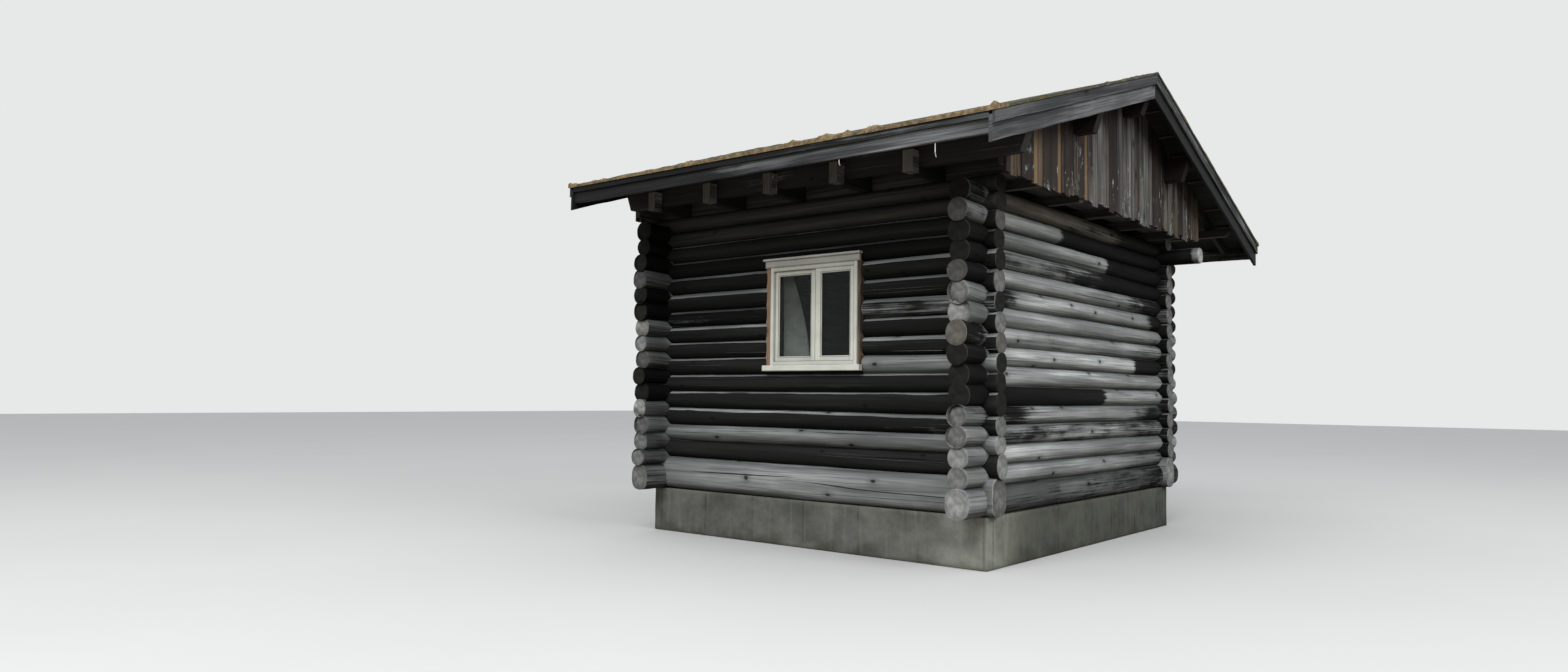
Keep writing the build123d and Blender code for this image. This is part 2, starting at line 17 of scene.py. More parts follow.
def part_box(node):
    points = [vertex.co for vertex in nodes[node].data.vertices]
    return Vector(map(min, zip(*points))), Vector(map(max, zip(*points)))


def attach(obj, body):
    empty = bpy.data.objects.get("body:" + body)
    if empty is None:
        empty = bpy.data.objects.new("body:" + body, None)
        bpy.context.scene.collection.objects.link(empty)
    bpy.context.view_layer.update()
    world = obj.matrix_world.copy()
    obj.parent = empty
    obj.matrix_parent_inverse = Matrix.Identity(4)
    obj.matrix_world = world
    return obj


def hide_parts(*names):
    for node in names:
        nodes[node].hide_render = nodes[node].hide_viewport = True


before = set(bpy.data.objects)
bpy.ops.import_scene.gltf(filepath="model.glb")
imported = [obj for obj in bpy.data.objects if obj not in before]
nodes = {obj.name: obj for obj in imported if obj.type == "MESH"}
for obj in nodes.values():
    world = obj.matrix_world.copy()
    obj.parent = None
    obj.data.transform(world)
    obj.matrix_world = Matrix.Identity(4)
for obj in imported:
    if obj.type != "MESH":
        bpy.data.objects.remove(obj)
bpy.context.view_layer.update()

# %% [markdown]
# ## The viewpoint
# The cabin is seen from a person's height, turned so that the front wall and the gable share the
# picture. A camera could be aimed by eye, but three angles and a place on the ground are easier to
# check: turn round the vertical, tilt above the horizon, and a slight roll of the horizon.

# %% Camera
view_turn, view_tilt, view_roll = math.radians(39.387), math.radians(3.323), math.radians(0.639)
viewpoint = (5.7460, -9.7825, 1.3926)

scene = bpy.context.scene
camera = bpy.data.objects.new("viewpoint", bpy.data.cameras.new("viewpoint"))
camera.data.lens = 23.641
camera.data.sensor_width = 36
camera.matrix_world = (
    Matrix.Translation(viewpoint)
    @ Matrix.Rotation(view_turn, 4, "Z")
    @ Matrix.Rotation(math.radians(90) + view_tilt, 4, "X")
    @ Matrix.Rotation(view_roll, 4, "Z")
)
scene.collection.objects.link(camera)
bpy.context.scene.camera = camera
bpy.context.scene.view_settings.view_transform = "Standard"
print("camera looks along", tuple(round(v, 3) for v in camera.matrix_world.col[2][:3]))

# %% [markdown]
# ## A bench for finishes
# Old timber is never one colour. Fibres, broad bands, knots, drying cracks and left-over stain all
# run along the grain, so every board and log carries its own grain map: one direction along the
# piece, one across it, in metres. Stretching a noise along that map gives fibres at true scale,
# however the piece lies in the building. A picture of wood could not follow 500 pieces this way.

# %% Bench: short names for the nodes that finishes and light share


class Bench:
    """A tree of nodes and the tools that work on it."""

    def __init__(self, tree):
        self.tree = tree

    def add(self, kind, inputs=(), **settings):
        node = self.tree.nodes.new("ShaderNode" + kind)
        for key, value in settings.items():
            setattr(node, key, value)
        for key, value in dict(inputs).items():
            if isinstance(value, bpy.types.NodeSocket):
                self.tree.links.new(value, node.inputs[key])
            else:
                node.inputs[key].default_value = value
        return node

    def math(self, operation, first, second=0.0, third=0.0):
        return self.add("Math", {0: first, 1: second, 2: third}, operation=operation).outputs[0]

    def times(self, first, second):
        return self.math("MULTIPLY", first, second)

    def plus(self, value, share, base):
        """The base with a share of the value on top."""
        return self.math("MULTIPLY_ADD", value, share, base)

    def seen(self):
        """1 for what the eye sees, also in gloss and through glass, and 0 for light on its way."""
        rays = self.add("LightPath").outputs
        mirrored = self.math("MAXIMUM", rays["Is Glossy Ray"], rays["Is Transmission Ray"])
        return self.math("MAXIMUM", rays["Is Camera Ray"], mirrored)


# %% Finish: a material that follows the grain and the tones of its piece


class Finish(Bench):
    """A material on the bench."""

    def __init__(self, name, roughness=0.85, shine=0.25, metal=0.0):
        self.material = bpy.data.materials.new(name)
        self.material.use_nodes = True
        super().__init__(self.material.node_tree)
        self.shader = self.tree.nodes["Principled BSDF"]
        self.shader.inputs["Roughness"].default_value = roughness
        self.shader.inputs["Specular IOR Level"].default_value = shine
        self.shader.inputs["Metallic"].default_value = metal

    def places(self, strides):
        """Places in strides of 1/number metres: two numbers go along and across the grain, and
        three, or one for all three, go through space."""
        strides = strides if isinstance(strides, tuple) else (strides,) * 3
        if len(strides) == 2:
            source = self.add("UVMap", uv_map="Grain").outputs[0]
        else:
            source = self.add("TexCoord").outputs["Object"]
        return self.add("Mapping", {"Vector": source, "Scale": (*strides, 1)[:3]}).outputs[0]

    def noise(self, places, detail=4, rough=0.55):
        """Noise at places, or at the places that strides give."""
        if not isinstance(places, bpy.types.NodeSocket):
            places = self.places(places)
        settings = {"Vector": places, "Scale": 1.0, "Detail": detail, "Roughness": rough}
        return self.add("TexNoise", settings).outputs["Fac"]

    def spread(self, value, low, high, to_low=0.0, to_high=1.0):
        """Stretches the values from low to high softly over another span."""
        settings = {"Value": value, "From Min": low, "From Max": high, "To Min": to_low, "To Max": to_high}
        return self.add("MapRange", settings, interpolation_type="SMOOTHSTEP").outputs[0]

    def patches(self, places, low, high, detail=4, rough=0.55):
        """Noise with the values from low to high spread over 0 to 1."""
        return self.spread(self.noise(places, detail, rough), low, high)

    def level(self):
        """Height above the ground."""
        return self.add("SeparateXYZ", {0: self.add("TexCoord").outputs["Object"]}).outputs["Z"]

    def tones(self):
        """Coat, wear, painted light with some random tone, and warmth, as the corners of the piece carry
        them.
        """
        tone = self.add("Attribute", attribute_name="Tone").outputs
        shares = self.add("SeparateColor", {0: tone["Color"]}).outputs
        return shares[0], shares[1], shares[2], tone["Alpha"]

    def mix(self, amount, first, second, blend="MIX"):
        inputs = {0: amount}
        for index, tint in ((6, first), (7, second)):
            inputs[index] = tint if isinstance(tint, bpy.types.NodeSocket) else (*tint, 1)
        return self.add("Mix", inputs, data_type="RGBA", blend_type=blend).outputs[2]

    def stain(self, colour, amount, share, tint):
        """Lays a share of a tint over a colour, as far as the amount goes."""
        return self.mix(self.times(amount, share), colour, tint)

    def lit(self, colour, painted_light_and_tone, gain=2.0):
        """Paints light or shade into a colour. A painted light of 0.5 leaves it as it is."""
        grey = self.times(painted_light_and_tone, gain)
        grey = self.add("CombineColor", {0: grey, 1: grey, 2: grey}).outputs[0]
        return self.mix(1.0, colour, grey, "MULTIPLY")

    def wear(self, colour, roughness=None, height=None, depth=0.003, strength=0.6):
        """Connects what the nodes worked out to the shader."""
        link = self.tree.links.new
        link(colour, self.shader.inputs["Base Color"])
        if roughness is not None:
            link(roughness, self.shader.inputs["Roughness"])
        if height is not None:
            bump = self.add("Bump", {"Height": height, "Distance": depth, "Strength": strength})
            link(bump.outputs[0], self.shader.inputs["Normal"])
        return self.material


def toned(tint, share):
    """The same tint, lighter or darker."""
    return [value * share for value in tint]


# %% [markdown]
# ## Floor and light
# A building in the open gets most of its light from the whole sky. In a studio the same softness
# comes from a world that is brighter overhead than at the horizon, with two broad lamps, one high in
# front and one beside the gable, to give the logs their round shade. The floor and the background
# are pale and plain.

# %% World and lamps
world = bpy.data.worlds.new("overcast")
world.use_nodes = True
world.node_tree.nodes.clear()
sky = Bench(world.node_tree)
upward_share = sky.add("SeparateXYZ", {0: sky.add("TexCoord").outputs["Generated"]}).outputs["Z"]
brightness = sky.add("MapRange", {
    "Value": upward_share, "From Min": -0.15, "From Max": 0.9, "To Min": 0.34, "To Max": 1.35,
}).outputs[0]
overcast = sky.add("Background", {"Color": (0.95, 0.98, 1.0, 1), "Strength": brightness}).outputs[0]
backdrop = sky.add("Background", {"Color": (0.80, 0.81, 0.81, 1)}).outputs[0]
chosen = sky.add("MixShader", {0: sky.seen(), 1: overcast, 2: backdrop}).outputs[0]
sky.add("OutputWorld", {"Surface": chosen})
scene.world = world


def broad_lamp(name, place, aim, size, watts):
    lamp = bpy.data.lights.new(name, "AREA")
    lamp.size = size
    lamp.energy = watts
    holder = bpy.data.objects.new(name, lamp)
    holder.location = place
    holder.rotation_euler = (Vector(aim) - Vector(place)).to_track_quat("-Z", "Y").to_euler()
    scene.collection.objects.link(holder)


broad_lamp("sky_panel", (4.0, -17.0, 15.0), (0, 0, 1.5), 12.0, 3900)
broad_lamp("side_panel", (19.0, -3.5, 11.5), (0.5, 0, 1.5), 9.0, 2500)
print("lamps:", [lamp.name for lamp in bpy.data.lights])

# %% Floor
ground = bpy.data.meshes.new("studio_floor")
reach, drop = 60.0, 0.002
edges = ((-reach, -reach), (reach, -reach), (reach, reach), (-reach, reach))
ground.from_pydata([(x, y, -drop) for x, y in edges], [], [(0, 1, 2, 3)])
studio_floor = bpy.data.objects.new("studio_floor", ground)
scene.collection.objects.link(studio_floor)
pale = Finish("pale_floor", roughness=0.9, shine=0.1)
seen_tint = pale.mix(pale.noise(0.4), (0.40, 0.40, 0.395), (0.43, 0.43, 0.425))
floor_bounce = (0.23, 0.205, 0.165)
ground.materials.append(pale.wear(pale.mix(pale.seen(), floor_bounce, seen_tint)))
print("floor reaches", reach, "m each way")

# %% [markdown]
# ## Weathered timber
# One recipe serves all the wood: a dark, a middle and a pale tint of the bare wood, laid down as
# fibres and bands, then what is left of a dark coat, then warm brown where the weather never came.
# How much coat, wear, painted light and shade, and warmth a log has is its own, so these four are
# kept in a colour named Tone on its corners, and one finish can serve sixty logs that all look different.

# %% Timber recipe


def timber(name, dark, middle, pale, coat, warm, knots=0.62, gloss=0.6, shine=0.07, chips=False):
    """Weathered wood. Nearer to 1, knots makes them rarer, and gloss is the roughness of the coat."""
    wood = Finish(name, shine=shine)
    coated, worn, painted_light_and_tone, warmth = wood.tones()
    fibre = wood.patches((1.1, 60), 0.26, 0.74, 7, 0.62)
    band = wood.patches((0.55, 9), 0.34, 0.66)
    patch = wood.noise((1.6, 5.0), 5, 0.6)
    cloud = wood.patches((0.8, 1.3), 0.3, 0.7, 3)
    colour = wood.mix(wood.plus(fibre, 0.48, wood.times(band, 0.52)), dark, middle)
    colour = wood.mix(wood.times(wood.times(fibre, cloud), band), colour, pale)

    hairline = wood.patches((0.7, 130), 0.61, 0.68, 3, 0.5)
    cells = {"Vector": wood.places((1.9, 3.6)), "Scale": 1.0}
    cells = wood.add("TexVoronoi", cells, voronoi_dimensions="2D").outputs
    chosen = wood.add("SeparateColor", {0: cells["Color"]}).outputs[0]
    chosen = wood.math("GREATER_THAN", chosen, knots)
    knot = wood.times(wood.spread(cells["Distance"], 0.075, 0.028), chosen)
    halo = wood.times(wood.spread(cells["Distance"], 0.20, 0.06), chosen)
    scar = wood.math("MAXIMUM", wood.times(hairline, 0.55), knot)

    up = wood.add("SeparateXYZ", {0: wood.add("NewGeometry").outputs["Normal"]}).outputs["Z"]
    rubbed = wood.spread(wood.plus(patch, 0.14, wood.plus(worn, 0.35, up)), 1.00, 1.10)
    cover = wood.spread(wood.plus(fibre, -0.20, wood.plus(patch, 0.8, coated)), 0.62, 0.86)
    cover = wood.times(cover, wood.spread(rubbed, 0, 1, 1.0, 0.06))

    colour = wood.mix(warmth, colour, wood.mix(fibre, toned(warm, 0.45), warm))
    colour = wood.stain(colour, halo, 0.4, toned(dark, 0.9))
    colour = wood.mix(cover, colour, wood.mix(wood.times(fibre, band), coat, toned(coat, 2.1)))
    colour = wood.stain(colour, scar, 0.85, toned(coat, 0.5))
    if chips:
        low_down = wood.times(wood.spread(wood.level(), 3.82, 3.36), wood.spread(patch, 0.49, 0.58))
        chip = wood.patches((26, 26, 9), 0.575, 0.615, 6, 0.7)
        colour = wood.mix(wood.times(chip, low_down), colour, (0.33, 0.37, 0.37))
    # Painted shade: undersides are painted darker than upright faces, as if shaded, and upper faces a
    # little darker too, to temper the lamps from above.
    painted_facing_shade = wood.times(wood.spread(up, -0.85, -0.15, 1.1, 2.0), wood.spread(up, 0.30, 0.95, 1.0, 0.66))
    rough = wood.mix(cover, (0.86, 0.86, 0.86), (gloss, gloss, gloss))
    return wood.wear(wood.lit(colour, painted_light_and_tone, painted_facing_shade), rough, wood.plus(scar, -0.8, fibre), 0.0022, 0.5)


# %% The timbers: dark, middle, pale, coat and warm tints
log_wood = timber(
    "weathered_log", (0.078, 0.083, 0.083), (0.185, 0.194, 0.194), (0.385, 0.40, 0.40),
    (0.0074, 0.0076, 0.0074), (0.085, 0.078, 0.058), gloss=0.78, shine=0.03,
)
board_wood = timber(
    "weathered_board", (0.022, 0.023, 0.024), (0.082, 0.086, 0.090), (0.27, 0.28, 0.29),
    (0.012, 0.0122, 0.0125), (0.070, 0.058, 0.044), knots=0.8,
)
gable_wood = timber(
    "gable_board", (0.026, 0.025, 0.023), (0.085, 0.083, 0.079), (0.30, 0.30, 0.29),
    (0.016, 0.0125, 0.0105), (0.27, 0.165, 0.075), knots=0.7, chips=True,
)
beam_wood = timber(
    "roof_timber", (0.022, 0.0215, 0.0205), (0.052, 0.051, 0.048), (0.20, 0.19, 0.17),
    (0.0125, 0.0122, 0.0117), (0.075, 0.066, 0.052), knots=0.75,
)
beam_end = timber(
    "beam_end_grain", (0.10, 0.10, 0.095), (0.20, 0.20, 0.19), (0.34, 0.34, 0.32),
    (0.012, 0.0115, 0.010), (0.20, 0.16, 0.11), knots=2.0,
)
floor_wood = timber(
    "floor_board", (0.13, 0.095, 0.06), (0.30, 0.235, 0.165), (0.42, 0.345, 0.255),
    (0.05, 0.035, 0.025), (0.36, 0.25, 0.14), knots=0.7,
)
trim_wood = timber(
    "bare_trim", (0.085, 0.055, 0.036), (0.23, 0.165, 0.110), (0.40, 0.315, 0.225),
    (0.05, 0.04, 0.03), (0.34, 0.22, 0.13), knots=0.9,
)
door_wood = timber(
    "door_plank", (0.035, 0.031, 0.028), (0.095, 0.085, 0.075), (0.21, 0.195, 0.175),
    (0.016, 0.014, 0.012), (0.14, 0.095, 0.055), knots=0.75,
)
print("finishes so far:", [material.name for material in bpy.data.materials])

# %% [markdown]
# ## End grain
# Where a log is sawn through, its rings and the star of drying cracks show. The rings come from the
# distance to the pith, bent by a little noise so that no ring is a true circle. The cracks
# themselves are cut into the mesh later.

# %% End grain recipe


def end_grain(name, pale, grey, dark, warm):
    end = Finish(name, roughness=0.9, shine=0.06)
    coated, _, painted_light_and_tone, warmth = end.tones()
    places = end.places((1, 1))
    bent = end.add("TexNoise", {"Vector": places, "Scale": 9.0, "Detail": 3.0}).outputs["Color"]
    pull = {0: bent, 1: (0.03, 0.03, 0.0), 2: places}
    bent = end.add("VectorMath", pull, operation="MULTIPLY_ADD").outputs[0]
    flat = end.add("VectorMath", {0: bent, 1: (1, 1, 0)}, operation="MULTIPLY").outputs[0]
    radius = end.add("VectorMath", {0: flat}, operation="LENGTH").outputs["Value"]
    ring = end.spread(end.math("SINE", end.times(radius, 780.0)), -0.6, 1.0)
    blotch = end.patches((14, 14), 0.32, 0.68, 5, 0.62)
    speck = end.patches((95, 95), 0.40, 0.64, 3, 0.6)
    parts = end.add("SeparateXYZ", {0: flat}).outputs
    turn = end.math("ARCTAN2", parts[1], parts[0])
    fan = end.add("CombineXYZ", {0: end.times(turn, 4.5), 1: end.times(radius, 6.0)}).outputs[0]
    ray = end.patches(fan, 0.63, 0.70, 3, 0.6)
    rim = end.spread(radius, 0.070, 0.092)

    colour = end.mix(blotch, grey, pale)
    for amount, share, depth in ((ring, 0.22, 0.55), (speck, 0.20, 0.5), (rim, 0.35, 0.45)):
        colour = end.stain(colour, amount, share, toned(grey, depth))
    colour = end.mix(warmth, colour, warm)
    cover = end.times(coated, end.spread(end.plus(blotch, -0.12, coated), -0.1, 0.35))
    colour = end.mix(cover, colour, end.mix(blotch, dark, toned(dark, 1.8)))
    colour = end.stain(colour, ray, 0.65, toned(dark, 0.7))
    height = end.plus(ray, -1.2, end.plus(speck, 0.6, end.times(ring, 0.4)))
    return end.wear(end.lit(colour, painted_light_and_tone), None, height, 0.0018, 0.5)


log_end = end_grain(
    "sawn_log_end", (0.45, 0.46, 0.455), (0.22, 0.226, 0.224), (0.0085, 0.0085, 0.0082), (0.22, 0.165, 0.105)
)
print("end grain:", log_end.name)

# %% [markdown]
# ## From boards to one mesh
# Every piece of the cabin is many boards or logs. Each could be an object of its own, but a piece
# that is one mesh is easier to hand on, so corners, faces, grain places and tones are gathered in
# a pile and turned into a mesh once.

# %% Pile and piece


class Pile:
    """The boards or logs of one piece, before they become one mesh. A corner is handed on as its
    number and its place on the grain."""

    def __init__(self):
        self.points, self.tones, self.faces, self.grain, self.kinds = [], [], [], [], []

    def corner(self, spot, tone, grain):
        self.points.append(tuple(spot))
        self.tones.append(tone)
        return len(self.points) - 1, grain

    def face(self, corners, kind=0):
        self.faces.append([number for number, _ in corners])
        self.grain.extend(grain for _, grain in corners)
        self.kinds.append(kind)

    def skin(self, rows, kind=0, closed=False):
        """Covers the way from each row of corners to the next."""
        if closed:
            rows = [row + row[:1] for row in rows]
        for first, second in zip(rows, rows[1:]):
            for corners in zip(first, first[1:], second[1:], second):
                self.face(corners, kind)


def make_piece(name, pile, finishes, slot, *replaced, crease=38):
    """Turns a pile into an object that stands for the named nodes of the frame."""
    mesh = bpy.data.meshes.new(name)
    mesh.from_pydata(pile.points, [], pile.faces)
    grain = mesh.uv_layers.new(name="Grain")
    grain.data.foreach_set("uv", [value for place in pile.grain for value in place])
    tone = mesh.color_attributes.new("Tone", "FLOAT_COLOR", "POINT")
    tone.data.foreach_set("color", [value for tint in pile.tones for value in tint])
    for finish in finishes:
        mesh.materials.append(finish)
    mesh.polygons.foreach_set("material_index", pile.kinds)
    shell = bmesh.new()
    shell.from_mesh(mesh)
    bmesh.ops.recalc_face_normals(shell, faces=shell.faces)
    shell.to_mesh(mesh)
    shell.free()
    mesh.polygons.foreach_set("use_smooth", [True] * len(mesh.polygons))
    mesh.set_sharp_from_angle(angle=math.radians(crease))
    piece = bpy.data.objects.new(name, mesh)
    scene.collection.objects.link(piece)
    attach(piece, "root")
    if replaced:
        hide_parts(*replaced)
    print(name, "faces:", len(mesh.polygons))
    return piece


def make_worn(node, pile, finishes, slot):
    """The usual piece: it stands for one node of the frame."""
    make_piece(f"{node}_worn", pile, finishes, slot, node)


def dress(node, finish):
    """Gives a plain solid of the frame a finish."""
    nodes[node].data.materials.clear()
    nodes[node].data.materials.append(finish)


# %% [markdown]
# ## Sizes taken over from the carpentry
# The walls, the roof planes and the log courses are repeated here in metres, so that boards and logs
# can be laid where the frame has them. What differs from board to board is drawn at random, from a
# seed of its own, so that a change to one board leaves the others as they are.

# %% Sizes
near_face, far_face = 1.720, -2.130
front_face, rear_face = -2.2825, 1.8975
near_middle, far_middle = 1.634, -2.044
front_middle, rear_middle = -2.1965, 1.8115
half_roof, half_run = 2.340, 3.3125
course = 0.165
footing = 0.430
pitches = {-1: math.radians(18.2), 1: math.radians(20.3)}
ridge = -0.060
rafter_foot, rafter_back, deck_back, roof_back = 4.3670, 4.4723, 4.4986, 4.5112
roof_sides = (("front", -1), ("rear", 1))
along_x, along_y, upward = Vector((1, 0, 0)), Vector((0, 1, 0)), Vector((0, 0, 1))


def fall_at(place):
    return math.tan(pitches[-1 if place < ridge else 1])


def roof_height(layer, place):
    """Height of a roof layer at a place between the front and the rear eave."""
    return layer - fall_at(place) * abs(place - ridge)


def down_slope(side):
    return Vector((0, side * math.cos(pitches[side]), -math.sin(pitches[side])))


def seeded(*key):
    return random.Random(" ".join(str(part) for part in key))


def wave(*place):
    """A smooth number between -1 and 1 at any place."""
    return noise.noise(Vector(place))


def drift(place, seed, pace):
    """A smooth wander between -1 and 1 along a piece."""
    return wave(place * pace, seed * 3.7, 0.5)


def bell(value, width):
    """1 at 0, falling softly to 0 on both sides."""
    return math.exp(-(value / width) ** 2)


def part_way(pair, share):
    return pair[0] + (pair[1] - pair[0]) * share


print("the roof falls", [round(fall_at(place), 3) for place in (-1, 1)], "in front and behind")

# %% [markdown]
# ## One log
# A log is a long round body that is never quite straight or round: it tapers, swells at its knots,
# and opens in drying cracks. A cylinder with a bumpy finish would keep a ruler-straight outline.
# Here each ring of the log is placed one by one in code. A crack is three corners close together, the
# middle one pushed in, and where it reaches the end it runs on across the end grain to the pith.

# %% Tones, cracks, knots and ends of a log


def between(stops, place):
    """A tone at a place along a log, from (place, tone) stops or from one tone."""
    if not isinstance(stops[0], tuple):
        return stops
    if place <= stops[0][0]:
        return stops[0][1]
    for (start, first), (end, second) in zip(stops, stops[1:]):
        if place <= end:
            share = (place - start) / max(end - start, 1e-6)
            return tuple(part_way(pair, share) for pair in zip(first, second))
    return stops[-1][1]


def turn_gap(first, second):
    return abs((first - second + math.pi) % math.tau - math.pi)


def plan_cracks(rng, low, high, radius, count):
    cracks = []
    for _ in range(count):
        turn = rng.uniform(0.55, math.pi - 0.4) * rng.choice((-1, 1))
        if any(abs(turn - crack["turn"]) < 0.55 for crack in cracks):
            continue
        length = rng.uniform(0.5, 2.2)
        start = rng.uniform(low - 0.4 * length, high - 0.6 * length)
        cracks.append({
            "turn": turn % math.tau, "start": start, "length": length,
            "depth": rng.uniform(0.09, 0.2) * radius, "width": rng.uniform(0.0016, 0.0042),
            "sway": rng.uniform(0, 6),
        })
    return cracks


def openness(crack, place):
    share = (place - crack["start"]) / crack["length"]
    return math.sqrt(math.sin(math.pi * share)) if 0 < share < 1 else 0.0


def near_end(distance):
    """1 at the end of a log, falling to 0 at 0.35 m from it."""
    share = max(0.0, 1 - max(distance, 0.0) / 0.35)
    return share * share * (3 - 2 * share)


def lump_at(place, turn, knots, wobble):
    """How far the log's skin swells out there, as a share of its radius."""
    out, up = math.sin(turn), math.cos(turn)
    lump = 0.042 * wave(place * 1.5 + wobble, out * 0.9, up * 0.9)
    lump += 0.018 * wave(place * 5.0 + wobble, out * 2.6, up * 2.6)
    for where, angle, size in knots:
        gap, step = turn_gap(turn, angle) / size, (place - where) / (size * 0.13)
        if gap < 2 and abs(step) < 2:
            lump += 0.050 * math.exp(-gap * gap - step * step)
    return lump


def axe_mark(side, height, facet, hewn, wobble):
    """How far an end face lies behind a straight cut: a rough face with two hewn facets."""
    first = max(0.0, side * facet[0] + height * facet[1] - 0.01)
    second = max(0.0, height * facet[0] - side * facet[1] - 0.03)
    return 0.0035 * wave(side * 24, height * 24, wobble) + hewn * (first + 0.8 * second)


# %% Log builder


def lay_log(pile, axis, low, high, middle, bottoms, tops, widths, tone, ends, seed,
            square=2.1, cracks=3, cuts=(), hewn=0.0, spacing=0.055, sides=26, flare=(0.0, 0.0)):
    """Lays one log along X (axis 0) or Y (axis 1). bottoms, tops and widths are given at its two
    ends, ends are the tones of its two end faces, and cuts are (from, to, floor, ceiling)."""
    rng = seeded("log", seed)
    radius = (tops[0] - bottoms[0]) / 2
    cracks = plan_cracks(rng, low, high, radius, cracks)
    turns = [(index + 0.5) * math.tau / sides for index in range(sides)]
    marks = [(turn, 0, None) for turn in turns
             if all(turn_gap(turn, crack["turn"]) > 0.15 for crack in cracks)]
    marks += [(crack["turn"], part, crack) for crack in cracks for part in (-1, 0, 1)]
    marks.sort(key=lambda mark: mark[:2])
    knots = [(rng.uniform(low, high), rng.uniform(0, math.tau), rng.uniform(0.25, 0.42))
             for _ in range(int((high - low) * 1.6))]
    bow, wobble = rng.uniform(-0.008, 0.008), rng.uniform(0, 50)

    def ring(place, shrink=1.0, sign=0, facet=(0, 0)):
        """Corners round the log: spot, place on the end face, and way round. sign is for end faces."""
        share = (place - low) / (high - low)
        base, crown, across = (part_way(pair, share) for pair in (bottoms, tops, widths))
        swell = 1 + flare[0] * near_end(place - low) + flare[1] * near_end(high - place)
        half = ((crown - base) / 2 + 0.0035) * swell
        centre = (crown + base) / 2 + 0.003 * drift(place, wobble, 0.9)
        aside = middle + bow * math.sin(math.pi * share) + 0.004 * drift(place, wobble + 9, 0.7)
        corners = []
        for turn, part, crack in marks:
            deep = 0.0
            if crack:
                gape = openness(crack, place)
                turn += 0.06 * math.sin(place * 1.7 + crack["sway"])
                turn += part * (0.0003 + crack["width"] * gape) / half
                deep = crack["depth"] * gape if part == 0 else 0.0
            size = 1 + lump_at(place, turn, knots, wobble)
            size *= shrink * (1 - deep * min(1, shrink * 1.2) / half)
            side, height = (
                reach * size * math.copysign(abs(way) ** (2 / square), way)
                for reach, way in ((across * swell, math.sin(turn)), (half, math.cos(turn)))
            )
            behind = axe_mark(side, height, facet, hewn, wobble) + 0.009 * shrink * (deep > 0.002)
            line, up = place - sign * behind, centre + height
            for start, end, floor, ceiling in cuts:
                if start < place < end:
                    up = max(floor, min(up, ceiling))
            spot = (line, aside + side, up) if axis == 0 else (aside + side, line, up)
            corners.append((spot, (side, height), turn * half))
        return corners

    steps = max(4, int((high - low) / spacing))
    places = [low + 0.007, high - 0.007] + [low + (high - low) * index / steps for index in range(1, steps)]
    places += [place for start, end, _, _ in cuts for edge in (start, end)
               for place in (edge - 0.001, edge + 0.001) if low < place < high]
    slide, around = rng.uniform(0, 40), rng.uniform(0, 12)
    rows = []
    for place in sorted(places):
        tint = between(tone, place)
        row = [pile.corner(spot, tint, (place + slide, girth + around)) for spot, _, girth in ring(place)]
        number, (along, girth) = row[0]
        rows.append(row + [(number, (along, girth + math.tau * radius))])
    pile.skin(rows)

    for sign, place, row, tint in ((-1, low, rows[0], ends[0]), (1, high, rows[-1], ends[1])):
        angle, _ = rng.uniform(0, math.tau), rng.random()
        facet = (math.cos(angle), math.sin(angle))
        rings = [[(number, flat) for (number, _), (_, flat, _) in zip(row, ring(place))]]
        for shrink in (0.955, 0.74, 0.5, 0.24):
            inner = ring(place, shrink, sign, facet)
            rings.append([pile.corner(spot, tint, flat) for spot, flat, _ in inner])
        pile.skin(rings, 1, closed=True)
        pile.face(rings[-1], 1)


def make_wall(wall, piles, slot):
    """Makes the odd and the even logs of a wall, from a pile of even and one of odd logs."""
    for group, pile in (("odd", piles[1]), ("even", piles[0])):
        make_worn(f"{wall}_{group}_logs", pile, [log_wood, log_end], slot)


# %% [markdown]
# ## The four walls
# The long walls and the gable walls are laid in turn, half a course apart, and saddled over each
# other at the corners, so their ends stand out in two columns. The seams of the front wall are not
# level: each log was laid with its thick end the other way from the one below. The tones say how
# much dark coat is left, how far the upper shoulder is worn, how much painted light and shade the
# log carries, and how brown.

# %% Seams and tones of the front wall
front_seams = [
    (0.756, 0.741), (0.930, 0.936), (1.087, 1.085), (1.262, 1.245), (1.429, 1.437), (1.596, 1.600),
    (1.762, 1.759), (1.928, 1.920), (2.086, 2.090), (2.245, 2.261), (2.424, 2.441), (2.594, 2.613),
    (2.760, 2.775), (2.925, 2.935), (3.080, 3.084), (3.230, 3.230),
]
# Light above 0.5 is painted light, as on logs 13 to 15 in the eave's shadow, and light below 0.5 is painted
# shade.
front_tones = {
    1: (0.98, 0.1, 0.75, 0), 2: (0.24, 0.5, 0.44, 0),
    3: [(-2, (0.92, 0.95, 0.6, 0)), (0.1, (0.86, 1, 0.6, 0)), (0.9, (0.60, 1.1, 0.5, 0)),
        (2, (0.66, 1.1, 0.5, 0))],
    4: (1, 0.80, 0.62, 0), 5: (1, 0.75, 0.62, 0), 12: (1, 0.9, 0.4, 0), 13: (1.1, 0.5, 1.1, 0),
    14: (1.2, 0, 2.4, 0), 15: (1.2, 0, 2.4, 0),
}
left_tones = {
    6: (0.98, 0.85, 0.60, 0), 7: (0.93, 0.95, 0.55, 0), 8: (0.90, 1.15, 0.55, 0),
    9: (0.62, 0.9, 0.30, 0), 10: (0.86, 1.45, 0.55, 0), 11: (0.95, 1.1, 0.5, 0),
}
right_tones = {
    6: (0.16, 0.5, 0.52, 0), 7: (0.84, 1.45, 0.62, 0), 8: (0.84, 0.9, 0.5, 0),
    9: (0.50, 1.35, 0.46, 0), 10: (0.86, 1.1, 0.5, 0), 11: (0.84, 1.5, 0.60, 0),
}
near_end_tones = {
    0: (0.55, 0, 0.40, 0), 1: (0.30, 0, 0.36, 0), 2: (0.30, 0, 0.38, 0), 3: (0.5, 0, 0.36, 0),
    7: (0.6, 0, 0.36, 0.3), 8: (0.45, 0, 0.36, 0), 10: (0.45, 0, 0.34, 0), 13: (0.6, 0, 0.3, 0.3),
}
dark_end = (1.0, 0, 0.5, 0)
print("front courses:", [round(high[1] - low[1], 3) for low, high in zip(front_seams, front_seams[1:])])

